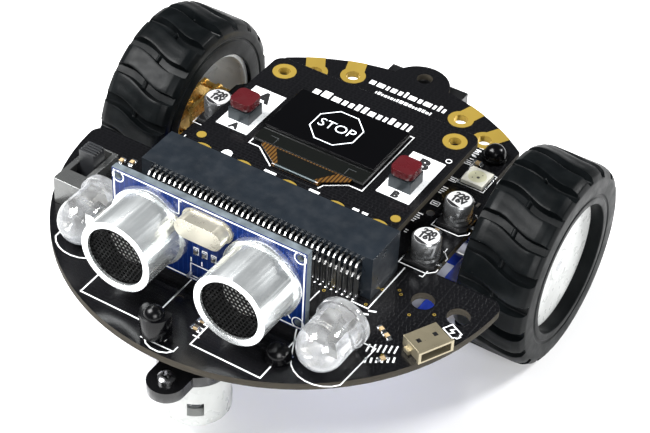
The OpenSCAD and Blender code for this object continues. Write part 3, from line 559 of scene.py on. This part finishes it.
class Flat:
    """Flat pieces of one material, drawn in a plane and given a small thickness."""

    def __init__(self, place, thickness=PRINT_T):
        self.place = place
        self.thickness = thickness
        self.points = []
        self.faces = []

    def plate(self, outline):
        """A filled outline."""
        start, n = len(self.points), len(outline)
        for z in (0, self.thickness):
            self.points += [self.place @ Vector((x, y, z)) for x, y in outline]
        self.faces.append([start + i for i in reversed(range(n))])
        self.faces.append([start + n + i for i in range(n)])
        for i in range(n):
            j = (i + 1) % n
            self.faces.append([start + i, start + j, start + n + j, start + n + i])
        return self

    def bar(self, a, b, width):
        """A straight stroke with square ends."""
        a, b = Vector(a), Vector(b)
        along = (b - a).normalized() * width / 2
        side = Vector((-along.y, along.x))
        return self.plate([a - along + side, a - along - side, b + along - side, b + along + side])

    def path(self, points, width, closed=False):
        """A stroke along a line, with mitred corners."""
        points = [Vector(p) for p in points]
        n = len(points)
        inner, outer = [], []
        for i, p in enumerate(points):
            before = points[i - 1] if closed or i else None
            after = points[(i + 1) % n] if closed or i < n - 1 else None
            d1 = (p - before).normalized() if before is not None else (after - p).normalized()
            d2 = (after - p).normalized() if after is not None else d1
            side = Vector((-(d1 + d2).y, (d1 + d2).x)).normalized()
            reach = width / 2 / max(0.35, side.dot(Vector((-d1.y, d1.x))))
            inner.append(p - side * reach)
            outer.append(p + side * reach)
        for i in range(n if closed else n - 1):
            j = (i + 1) % n
            self.plate([inner[i], inner[j], outer[j], outer[i]])
        return self

    def ring(self, x, y, r, width, steps):
        """A stroke round a circle."""
        return self.path(circle(x, y, r, steps), width, True)

    def disc(self, x, y, r, steps):
        """A filled circle."""
        return self.plate(circle(x, y, r, steps))

    def rectangle(self, x0, y0, x1, y1, width=None):
        """A rectangle, drawn as a stroke if it has a width."""
        corners = [(x0, y0), (x1, y0), (x1, y1), (x0, y1)]
        return self.path(corners, width, True) if width else self.plate(corners)

    def done(self, name, material, body):
        """Turn what was drawn into a piece."""
        new_object(name, mesh_of(name, self.points, self.faces), material, body)


def at_height(z):
    """A level plane, such as a board's top face."""
    return Matrix.Translation((0, 0, z))


def on_wall(y, x, z):
    """A plane that faces -Y, with its origin at x, z and its own y upwards."""
    return Matrix.Translation((x, y, z)) @ Matrix.Rotation(math.pi / 2, 4, "X")


def lettering(name, text, size, place, material, body, weight=0.0):
    """Generic lettering as a thin mesh, centred on its place; weight thickens its strokes."""
    curve = bpy.data.curves.new(name, "FONT")
    curve.body = text
    curve.size = size * MM
    curve.offset = weight * MM
    curve.extrude = PRINT_T * MM / 2
    curve.align_x = "CENTER"
    curve.align_y = "CENTER"
    curve.resolution_u = 3
    source = bpy.data.objects.new(name + "_source", curve)
    mesh = bpy.data.meshes.new_from_object(source)
    bpy.data.objects.remove(source)
    matrix = place.copy()
    matrix.translation = place.translation * MM
    mesh.transform(matrix)
    mesh.name = name
    new_object(name, mesh, material, body)


# ---------------------------------------------------------------- tyres

def rounded_loop(corners, radius):
    """A closed outline with each corner rounded by an arc."""
    steps = 3
    out, n = [], len(corners)
    for i, p in enumerate(corners):
        p, a, b = Vector(p), Vector(corners[i - 1]), Vector(corners[(i + 1) % n])
        cut = min(radius, (a - p).length * 0.45, (b - p).length * 0.45)
        start = p + (a - p).normalized() * cut
        end = p + (b - p).normalized() * cut
        for k in range(steps + 1):
            t = k / steps
            out.append(start * (1 - t) ** 2 + p * 2 * t * (1 - t) + end * t ** 2)
    return out


def tyre_section():
    """Outline of the tyre's cross-section: (distance across, radius), round the whole loop."""
    w, r = tyre_width, wheel_radius
    recess, lip, rim, shoulder, steps = 3.1, 14.5, 17.0, 3.4, 30
    across = [(shoulder + (w - 2 * shoulder) * i / steps, r) for i in range(steps + 1)]
    corners = [
        (1.0, rim), (1.0, lip + 0.1), (0.0, lip + 0.15),
        (0.0, 17.9), (0.22, 18.1), (0.22, 18.5), (0.0, 18.7),
        (0.0, r - 2.2), (0.6, r - 0.9), (1.9, r - 0.2), *across,
        (w - 1.9, r - 0.2), (w - 0.6, r - 0.9), (w, r - 2.2),
        (w, 16.9), (w - 0.22, 16.7), (w - 0.22, 16.2), (w, 16.0),
        (w, lip + 0.05), (w - recess, lip), (w - recess, rim),
    ]
    return rounded_loop(corners, 0.32)


def groove_depth_at(distance, across):
    """Depth of the tread at a distance from a groove's centre line, in millimetres."""
    half, lip, depth = 1.12, 0.34, 2.0
    t = min(1.0, max(0.0, (abs(distance) - half + lip * 0.6) / lip))
    cut = 1 - t * t * (3 - 2 * t)
    bridge = 1 - 0.3 * max(0.0, 1 - (across / 0.6) ** 2)
    crown = 0.10 * (min(abs(distance), 3.5) / 3.5) ** 3
    return depth * cut * bridge + crown * (1 - cut)


def tyre_mesh(name, phase):
    """The tyre turned round X, its S-shaped grooves following the section's own grid lines."""
    blocks, r = 20, wheel_radius
    pitch = 2 * math.pi * r / blocks
    steps = (0, 0.45, 0.8, 0.98, 1.1, 1.22, 1.4, 1.8, 2.3, 2.9)
    offsets = sorted({*steps, *(-s for s in steps[1:]), pitch / 2})
    section = tyre_section()
    points, n = [], len(section)
    for block in range(blocks):
        for offset in offsets:
            for x, radius in section:
                across = x - tyre_width / 2
                swing = 1.35 * math.sin(math.pi * max(-0.5, min(0.5, across / 10)))
                fade = max(0.0, min(1.0, (radius - 19.6) / 1.4))
                t = (block * pitch + offset + swing * fade) / r + phase
                floor = r - groove_depth_at(offset, across)
                reach = min(radius, floor) if radius > r - 3 else radius
                points.append((across, -reach * math.sin(t), reach * math.cos(t)))
    rings = blocks * len(offsets)
    faces = []
    for i in range(rings):
        a, b = i * n, ((i + 1) % rings) * n
        faces += [[a + k, a + (k + 1) % n, b + (k + 1) % n, b + k] for k in range(n)]
    return smooth(mesh_of(name, points, faces), 28)


def make_tyres():
    """Both tyres are the same moulding, one turned half round to face the other way."""
    for side, turn, phase in (("left", math.pi, -9.5), ("right", 0.0, 4.5)):
        mesh = tyre_mesh(f"tyre_tread_{side}", math.radians(phase))
        mesh.transform(Matrix.Rotation(turn, 4, "Z"))
        mesh.transform(Matrix.Translation(wheel_centre[side] * MM))
        tyre = new_object(f"tyre_tread_{side}", mesh, "rubber", f"wheel_{side}")
        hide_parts(f"tyre_{side}")


# ---------------------------------------------------------------- ultrasonic sensor

def honeycomb(radius, pitch, wire):
    """Hexagonal cells inside a circle, as a bmesh in the plane, joined along their wires."""
    work = bmesh.new()
    rows = int(radius / pitch * 1.3)
    for row in range(-rows, rows + 1):
        for column in range(-rows, rows + 1):
            x = (column + 0.5 * (row % 2)) * pitch
            y = row * pitch * math.sqrt(3) / 2
            if math.hypot(x, y) > radius - pitch * 0.45:
                continue
            rims = []
            for reach in (pitch / math.sqrt(3), pitch / math.sqrt(3) - wire):
                rims.append([work.verts.new((*corner, 0)) for corner in circle(x, y, reach, 6, 30)])
            for k in range(6):
                j = (k + 1) % 6
                work.faces.new([rims[0][k], rims[0][j], rims[1][j], rims[1][k]])
    bmesh.ops.remove_doubles(work, verts=work.verts, dist=pitch * 0.02)
    return work


def ripple(cell, place):
    """Give a flat mesh a slight ripple and set it in its place."""
    for vertex in cell.verts:
        x, y = vertex.co.x, vertex.co.y
        wave = 0.06 * math.sin(x * 8.5) * math.sin(y * 9.8)
        vertex.co = (place @ Vector((x, y, wave))) * MM


def absorb(whole, part):
    """Move one bmesh into another."""
    mesh = bpy.data.meshes.new("part")
    part.to_mesh(mesh)
    part.free()
    whole.from_mesh(mesh)
    bpy.data.meshes.remove(mesh)


def add_rim(whole, place, radius):
    """The plain band round a grille."""
    steps, width = 48, 0.75
    rim = []
    for pair in zip(circle(0, 0, radius, steps), circle(0, 0, radius - width, steps)):
        rim += [whole.verts.new(place @ Vector((*point, 0)) * MM) for point in pair]
    for k in range(steps):
        a, b = 2 * k, 2 * ((k + 1) % steps)
        whole.faces.new([rim[a], rim[b], rim[b + 1], rim[a + 1]])


def make_grilles():
    """Hexagonal wire mesh behind each can's mouth, clamped by a plain rim."""
    pitch, wire = 0.92, 0.2
    box_low, box_high = low("sensor_grilles"), high("sensor_grilles")
    middle = centre("sensor_grilles")
    radius = (box_high.z - box_low.z) / 2
    apart = (box_high.x - box_low.x) / 2 - radius
    whole = bmesh.new()
    for side in (-1, 1):
        place = on_wall(middle.y, middle.x + side * apart, middle.z)
        cell = honeycomb(radius - 0.5, pitch, wire)
        ripple(cell, place)
        absorb(whole, cell)
        add_rim(whole, place, radius)
    mesh = bpy.data.meshes.new("sensor_mesh")
    whole.to_mesh(mesh)
    whole.free()
    obj = new_object("sensor_mesh", mesh, "mesh", "chassis")
    thick = obj.modifiers.new("thickness", "SOLIDIFY")
    thick.thickness = 0.16 * MM
    thick.offset = 0
    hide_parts("sensor_grilles")


def make_sensor_print():
    """White printing on the sensor board: its border, generic T and R, and part outlines."""
    left, right = low("sensor_board"), high("sensor_board")
    half_w, half_h = (right.x - left.x) / 2, (right.z - left.z) / 2
    middle = centre("sensor_board")
    wall = on_wall(sensor_face, middle.x, middle.z)
    ink = Flat(wall)
    ink.rectangle(-half_w + 0.5, -half_h + 0.5, half_w - 0.5, half_h - 0.5, 0.28)
    for x in (-21, 21):
        for y in (-8.3, 8.3):
            ink.ring(x, y, 1.3, 0.22, 24)
    ink.path([(-6, 4.0), (-6.6, 4.0), (-6.6, 9), (-6, 9)], 0.18)
    ink.path([(-3.9, -5.6), (-3.9, -8.8), (3.9, -8.8), (3.9, -5.6), (-3.9, -5.6)], 0.2)
    for k in range(4):
        ink.bar((-3.8 + 2.54 * k, -5.0), (-3.8 + 2.54 * k, -4.2), 0.25)
    for x in SENSOR_RESISTORS:
        ink.rectangle(x - 0.55, -2.7, x + 0.55, -1.1, 0.14)
    ink.done("sensor_print", "print", "chassis")
    for letter, x in (("T", -18.6), ("R", 18.6)):
        place = on_wall(sensor_face - PRINT_T / 2, middle.x + x, middle.z - 7.2)
        lettering(f"sensor_letter_{letter}", letter, 2.6, place, "print", "chassis")
    parts = Flat(wall, 0.45)
    ends = Flat(wall, 0.5)
    for x in SENSOR_RESISTORS:
        parts.rectangle(x - 0.35, -2.2, x + 0.35, -1.6)
        ends.rectangle(x - 0.35, -2.5, x + 0.35, -2.2).rectangle(x - 0.35, -1.6, x + 0.35, -1.3)
    parts.done("sensor_resistors", "parts", "chassis")
    ends.done("sensor_resistor_ends", "solder", "chassis")


# ---------------------------------------------------------------- printing and parts on the chassis

def lamp_outline(x, tip, side):
    """Points of the printed outline round one lamp, from its inner rear corner to its outer one."""
    r = 6.4
    round_front = [
        (x + side * r * math.cos(math.radians(a)), tip + 6.0 - 0.9 * r * math.sin(math.radians(a)))
        for a in range(158, 29, -16)
    ]
    return [
        (x - side * 11.4, tip + 22.8), (x - side * 11.6, tip + 17.6), (x - side * 9.2, tip + 10.8),
        *round_front, (x + side * 6.1, tip + 15.2), (x + side * 3.2, tip + 15.2),
    ]


def print_sensor_marks(ink):
    """Outlines of the two cans and of the infrared receiver."""
    reach = 8.0
    for name, inner in (("transmitter_can", 1), ("receiver_can", -1)):
        x, front, back = centre(name).x, low(name).y - 1.1, sensor_face - 0.5
        ink.path([(x - reach, back), (x - reach, front), (x + reach, front), (x + reach, back)], 0.28)
        ink.bar((x + inner * reach, sensor_face + 2), (x + inner * reach, front + 9.4), 0.24)
    ink.path([(-3.9, -50.9), (-3.9, -52.6), (-3.1, -52.6), (3.6, -52.4), (3.6, -50.9)], 0.22)
    ink.path([(-2.9, -52.7), (-2.1, -53.5), (-0.6, -54.05), (1.2, -54.05), (2.7, -53.4), (3.4, -52.5)], 0.28)


def print_part_outlines(ink):
    """Outlines of the lamps, the connector's ends, the capacitors and the colour LEDs."""
    for side, name in ((-1, "lamp_left"), (1, "lamp_right")):
        ink.path(lamp_outline(centre(name).x, low(name).y, side), 0.26)
    block_low, block_high = low("edge_connector"), high("edge_connector")
    for side, x in ((-1, block_low.x), (1, block_high.x)):
        front, edge = block_low.y - 2.4, x + side * 0.9
        ink.path([(x - side * 3, front), (edge, front), (edge, block_high.y + 1.5)], 0.26)
    for x, y in CAPACITORS:
        for s in (-1, 1):
            ink.path([(x - 3.9, y + s * 1.5), (x - 3.9, y + s * 3.9), (x + 2.4, y + s * 3.9),
                      (x + 3.9, y + s * 2.4), (x + 3.9, y + s * 1.5)], 0.2)
    for side in (-1, 1):
        ink.rectangle(side * LED_X - 3.1, LED_Y - 3.1, side * LED_X + 3.1, LED_Y + 3.1, 0.18)
        for y in (19.2, 16.9):
            ink.rectangle(side * 26.2 - 1.3, y - 0.7, side * 26.2 + 1.3, y + 0.7, 0.14)


def print_strokes(ink):
    """Rows of short strokes and small boxes, in place of the designators."""
    for k in range(6):
        ink.bar((33.6 + 0.95 * k, -29.6 + 0.5 * k), (33.9 + 0.95 * k, -31.4 + 0.5 * k), 0.34)
        ink.bar((34.9 + 0.9 * k, -33.2 + 0.62 * k), (35.2 + 0.9 * k, -34.2 + 0.62 * k), 0.4)
    for k in range(5):
        ink.bar((22.2, 31.2 + 1.1 * k), (22.9, 31.2 + 1.1 * k), 0.3)
        ink.bar((-31.4, 1.0 + 1.1 * k), (-30.6, 1.0 + 1.1 * k), 0.3)
        ink.bar((4.2, -46.6 + 1.2 * k), (5.4 - 0.2 * k, -46.6 + 1.2 * k), 0.26)
    for k in range(3):
        ink.bar((26.9 + 0.9 * k, -24.6 + 1.5 * k), (28.0 + 0.9 * k, -24.2 + 1.5 * k), 0.42)
    for side in (-1, 1):
        ink.path([(side * 31.6, -7.2), (side * 32.4, -7.2), (side * 32.4, 3.0)], 0.2)
    for x, y in ((23.3, 14.0), (22.5, 22.9), (22.6, 29.8)):
        ink.rectangle(x - 0.9, y - 0.6, x + 0.9, y + 0.6, 0.16)
        ink.bar((x - 0.4, y), (x + 0.4, y), 0.3)
    for x, y, count in ((22.3, 6.6, 5), (22.6, 17.6, 4), (22.4, 32.6, 4), (22.9, 2.7, 2)):
        for k in range(count):
            ink.bar((x - 0.5, y + 0.7 * k), (x + rng.uniform(-0.1, 0.6), y + 0.7 * k), 0.26)


def make_chassis_print():
    """All the white printing on the chassis board."""
    ink = Flat(at_height(board_top))
    print_sensor_marks(ink)
    print_part_outlines(ink)
    make_plain_marks(ink, -9.6, 41.6, 19.6, 2.0)
    make_plain_marks(ink, -6.6, 39.2, 14.4, 1.0)
    make_battery_sign(ink, 45.0, -17.4)
    print_strokes(ink)
    ink.done("chassis_print", "print", "chassis")


def make_battery_sign(ink, x, y):
    """A small generic battery with a charge mark, printed beside the USB socket."""
    turn = Matrix.Rotation(SOCKET_TURN, 2)
    spots = {
        "case": [(-1.6, -1.1), (1.6, -1.1), (1.6, 1.1), (-1.6, 1.1)],
        "tip": [(1.6, -0.45), (2.1, -0.45), (2.1, 0.45), (1.6, 0.45)],
        "bolt": [(-0.2, 0.8), (-0.45, -0.1), (0.45, 0.1), (0.2, -0.8)],
    }
    for name, points in spots.items():
        placed = [Vector((x, y)) + turn @ Vector(p) for p in points]
        ink.path(placed, 0.24, name != "bolt")


def make_socket_windows():
    """The two spring windows in the top of the charging socket, drawn as thin black plates that are painted
    shade for the dark inside seen through them.
    """
    top = high("usb_shell").z - 0.2
    middle = centre("usb_shell")
    turn = Matrix.Rotation(SOCKET_TURN, 2)
    windows = Flat(at_height(top), 0.03)
    for y in (-1.9, 1.9):
        # Painted shade: each window is a black plate on the closed shell, standing for the dark inside seen
        # through the opening.
        corners = [(-0.9, y - 0.45), (0.1, y - 0.45), (0.1, y + 0.45), (-0.9, y + 0.45)]
        windows.plate([Vector((middle.x, middle.y)) + turn @ Vector(c) for c in corners])
    windows.done("usb_window_shades", "black", "chassis")


def make_vias():
    """Rings of small plated holes scattered over the front and sides of the chassis board."""
    tries, apart = 70, 3.2
    vias = Flat(at_height(board_top), 0.02)
    for _ in range(tries):
        angle, reach = rng.uniform(-2.9, -0.25), rng.uniform(20, 47)
        x, y = reach * math.cos(angle), -4 + reach * math.sin(angle)
        clear = all(math.hypot(x - hole_x, y - hole_y) > apart for hole_x, hole_y in BRICK_HOLES)
        by_sensor = abs(x) <= 24 and y <= -22
        if clear and not by_sensor:
            vias.ring(x, y, 0.28, 0.14, 10)
    vias.done("chassis_vias", "gold", "chassis")


def make_passives():
    """Small resistors and capacitors with tinned ends, soldered round the chassis."""
    places = [
        (22.4, -41.6, 60), (3.6, -42.5, 0), (3.6, -44.8, 0), (2.9, -40.4, 90),
        (27.9, 6.4, 0), (-28, 5.2, 0), (33.4, -24.8, -27), (35.2, -25.8, -27),
        (37.6, -31.6, 60), (-24.6, 20.2, 90), (24.4, 30.6, 0),
        (-38.4, -12.2, 90), (-36.2, -11.4, 90),
    ]
    bodies, ends, pads = (Flat(at_height(board_top), t) for t in (0.5, 0.53, 0.06))
    layers = (
        (bodies, 0.42, [(-0.55, 0.55)]),
        (ends, 0.42, [(-0.85, -0.5), (0.5, 0.85)]),
        (pads, 0.5, [(-1.25, -0.4), (0.4, 1.25)]),
    )
    for x, y, turn in places:
        way = Matrix.Rotation(math.radians(turn), 2)
        for group, half, spans in layers:
            for a, b in spans:
                corners = [(a, -half), (b, -half), (b, half), (a, half)]
                group.plate([Vector((x, y)) + way @ Vector(c) for c in corners])
    bodies.done("passive_bodies", "tan_part", "chassis")
    ends.done("passive_ends", "solder", "chassis")
    pads.done("passive_pads", "solder", "chassis")


def fillet(points, faces, x, y, w, d, h):
    """Add a low mound of solder on the chassis board."""
    start = len(points)
    for k, level in ((1.0, 0.0), (0.82, h * 0.35), (0.35, h)):
        z = board_top + level
        points += [(x + s * w * k, y + t * d * k, z) for s, t in ((-1, -1), (1, -1), (1, 1), (-1, 1))]
    for a in (start, start + 4):
        faces += [[a + i, a + (i + 1) % 4, a + 4 + (i + 1) % 4, a + 4 + i] for i in range(4)]
    faces.append([start + 8 + i for i in range(4)])
    faces.append([start + i for i in reversed(range(4))])


def make_solder():
    """Solder round the connector's feet, the receiver's legs, the colour LEDs and the capacitors."""
    points, faces = [], []
    for i in range(CONTACTS):
        x = control_x + (i + 0.5 - CONTACTS / 2) * CONTACT_PITCH
        for reach in (1.55, 0.55):
            fillet(points, faces, x, low("edge_connector").y - reach, 0.27, 0.4, 0.2)
    legs = centre("ir_receiver_legs")
    for i in (-1, 0, 1):
        fillet(points, faces, legs.x + 1.9 * i, legs.y, 0.5, 0.5, 0.5)
    for side in (-1, 1):
        for s in (-1, 1):
            for t in (-1, 1):
                fillet(points, faces, side * LED_X + s * 2.7, LED_Y + t * 1.6, 0.5, 0.6, 0.35)
    for x, y in CAPACITORS:
        for s in (-1, 1):
            fillet(points, faces, x + s * 3.5, y, 0.6, 0.45, 0.35)
    mesh = smooth(mesh_of("solder_joints", points, faces), 60)
    new_object("solder_joints", mesh, "solder", "chassis")


def make_capacitor_tops():
    """The pale lid, painted light as the lit top of the can's aluminium, the dark mark and the generic
    figures on top of each capacitor.
    """
    top = high("capacitor_cans").z + 0.02
    # Painted light: each lid is a pale disc of the can's aluminium, standing for the lit top.
    lit_lids = Flat(at_height(top - 0.02), 0.02)
    marks = Flat(at_height(top), 0.03)
    for number, (x, y) in enumerate(CAPACITORS):
        arc = [math.radians(a) for a in range(204, 307, 12)]
        marks.plate([(x + 2.6 * math.cos(t), y + 2.6 * math.sin(t)) for t in arc])
        lit_lids.disc(x, y, 2.65, 32)
        for line, text in enumerate(("220", "16V")):
            place = at_height(top) @ Matrix.Translation((x, y + 1.1 - 1.6 * line, PRINT_T / 2))
            lettering(f"capacitor_{number}_figures_{line}", text, 2.0, place, "ink", "chassis", 0.13)
    lit_lids.done("capacitor_lit_lids", "capacitor_lit_lid", "chassis")
    marks.done("capacitor_marks", "ink", "chassis")


def make_led_dots():
    """The tiny chip and bond pads of each colour LED, drawn on its lens."""
    chips = Flat(at_height(high("rgb_lenses").z), 0.02)
    for side in (-1, 1):
        chips.disc(side * LED_X + 0.3, LED_Y - 0.2, 0.36, 12)
        for x, y in ((-0.9, 0.8), (0.8, 0.9), (-0.8, -0.8)):
            chips.disc(side * LED_X + x, LED_Y + y, 0.14, 8)
    chips.done("led_chips", "parts", "chassis")


def make_battery_label():
    """A plain pale label on top of the battery pack, and another with printed lines under it."""
    a, b = low("battery_pack"), high("battery_pack")
    label = Flat(at_height(b.z), 0.06)
    label.rectangle(a.x + 0.6, a.y + 3.2, b.x - 0.1, b.y - 5.2)
    label.done("battery_label_top", "label", "chassis")
    under = Flat(at_height(a.z - 0.06), 0.06)
    under.rectangle(a.x + 8, a.y + 5, b.x - 8, b.y - 5)
    under.done("battery_label_under", "label", "chassis")
    marks = Flat(at_height(a.z - 0.1), 0.05)
    for k in range(4):
        marks.bar((-20, -12 + 3.2 * k), (20 - 4 * k, -12 + 3.2 * k), 0.5)
    marks.done("battery_label_lines", "ink", "chassis")


# ---------------------------------------------------------------- controller board

def make_control_print():
    """The white printing on the controller board, with generic letters by the buttons."""
    ink = Flat(at_height(control_top))
    for name in ("button_cap_a", "button_cap_b"):
        x, y = centre(name).x, centre(name).y
        ink.rectangle(x - 3.9, y - 5.3, x + 3.9, y + 10.1)
    panel_low, panel_high = low("display_panel"), high("display_panel")
    middle = (panel_low.x + panel_high.x) / 2
    front, back = panel_low.y - 0.9, panel_high.y + 0.9
    half = (panel_high.x - panel_low.x) / 2 + 0.45
    ink.path([
        (middle - half, back), (middle - half, front),
        (middle - half + 2.6, front), (middle - 5.9, front - 4.0),
    ], 0.24)
    ink.path([
        (middle + 5.9, front - 4.4), (middle + 6.4, front - 3.0), (middle + 10.6, front),
        (middle + half, front), (middle + half, back), (middle + half - 24, back),
    ], 0.24)
    make_plain_marks(ink, middle - 12.2, back + 1.0, 24.0, 2.2)
    for a, b in ((-6.8, -4.0), (4.1, 6.5), (14.5, 15.9), (16.7, 18.0)):
        ink.bar((a + 0.3, -5.35), (b - 0.3, -5.35), 0.62)
    ink.plate([(-17.4, -5.7), (-14.9, -5.7), (-15.1, -4.7), (-15.8, -4.2), (-16.6, -4.2), (-17.2, -4.7)])
    ink.ring(23.1, 18.8, 0.6, 0.16, 16)
    ink.done("control_print", "print", "controller")
    for letter, name in (("A", "button_cap_a"), ("B", "button_cap_b")):
        x, y = centre(name).x, centre(name).y
        raised = at_height(control_top + PRINT_T * 1.4)
        place = raised @ Matrix.Translation((x, y + 7.3, 0))
        lettering(f"button_letter_{letter}", letter, 4.6, place, "ink", "controller", 0.28)
        place = raised @ Matrix.Translation((x, y - 4.15, 0))
        lettering(f"button_small_letter_{letter}", letter, 2.7, place, "ink", "controller", 0.2)


def make_plain_marks(ink, x, y, length, height):
    """A row of plain white blocks of varied width, in place of a maker's lettering."""
    end = x + length
    while x < end:
        width = rng.choice((0.7, 1.0, 1.5, 2.0)) * height / 2.2
        ink.rectangle(x, y, min(x + width, end), y + height * rng.choice((0.72, 1.0)))
        x += width + 0.28 * height


def make_picture():
    """The display shows a plain octagonal stop sign."""
    a, b = low("display_glass"), high("display_glass")
    x, y = (a.x + b.x) / 2 - 0.1, (a.y + b.y) / 2 - 0.1
    sign = Flat(at_height(glass_top), 0.015)
    sign.path(circle(x, y, 5.75, 8, 22.5), 0.21, True)
    sign.done("picture_sign", "picture", "controller")
    place = at_height(glass_top) @ Matrix.Translation((x, y, 0))
    lettering("picture_word", "STOP", 3.7, place, "picture", "controller", -0.04)


def make_display_edges():
    """Fine pale lines where the display's two glass sheets end."""
    a, b = low("display_panel"), high("display_panel")
    y = low("display_glass").y - 0.35
    lines = Flat(at_height(b.z), 0.02)
    lines.bar((a.x + 0.3, y), (b.x - 0.3, y), 0.12)
    for s in (-1, 1):
        x = (a.x + b.x) / 2 + s * 8.6
        lines.path([(x, a.y + 0.5), (x, a.y + 2.4), (x + s * 1.8, a.y + 2.4)], 0.12)
    lines.done("display_lines", "solder", "controller")


def make_flex_parts():
    """The flex's dark cover, and the glossy bend along its front edge."""
    a, b = low("display_flex"), high("display_flex")
    middle = (a.x + b.x) / 2
    cover = Flat(at_height(b.z), 0.05)
    front, back = a.y + 0.6, b.y - 0.4
    cover.plate([(middle - 7.4, back), (middle - 4.4, front), (middle + 4.4, front), (middle + 7.4, back)])
    cover.done("flex_cover", "substrate", "controller")
    steps, radius = 8, 0.56
    points = []
    for side in (-1, 1):
        for k in range(steps + 1):
            t = math.radians(80 + 100 * k / steps)
            y, z = a.y + 0.5 + radius * math.cos(t), b.z - 0.5 + radius * math.sin(t)
            points.append((middle + side * 4.9, y, z))
    n = steps + 1
    faces = [[k, k + 1, n + k + 1, n + k] for k in range(steps)]
    mesh = smooth(mesh_of("flex_fold", points, faces), 60)
    fold = new_object("flex_fold", mesh, "fold", "controller")
    sheet = fold.modifiers.new("thickness", "SOLIDIFY")
    sheet.thickness = 0.03 * MM


def make_floor():
    """A wide plain floor under the tyres."""
    work = bmesh.new()
    bmesh.ops.create_grid(work, x_segments=8, y_segments=8, size=3.0)
    mesh = bpy.data.meshes.new("floor")
    work.to_mesh(mesh)
    work.free()
    mesh.materials.append(look["floor"])
    floor = bpy.data.objects.new("floor", mesh)
    bpy.context.scene.collection.objects.link(floor)


make_camera()
make_studio()
make_floor()
for node in nodes:
    finish_node(node)
make_tyres()
make_grilles()
make_sensor_print()
make_chassis_print()
make_socket_windows()
make_vias()
make_passives()
make_solder()
make_capacitor_tops()
make_led_dots()
make_battery_label()
make_control_print()
make_picture()
make_display_edges()
make_flex_parts()
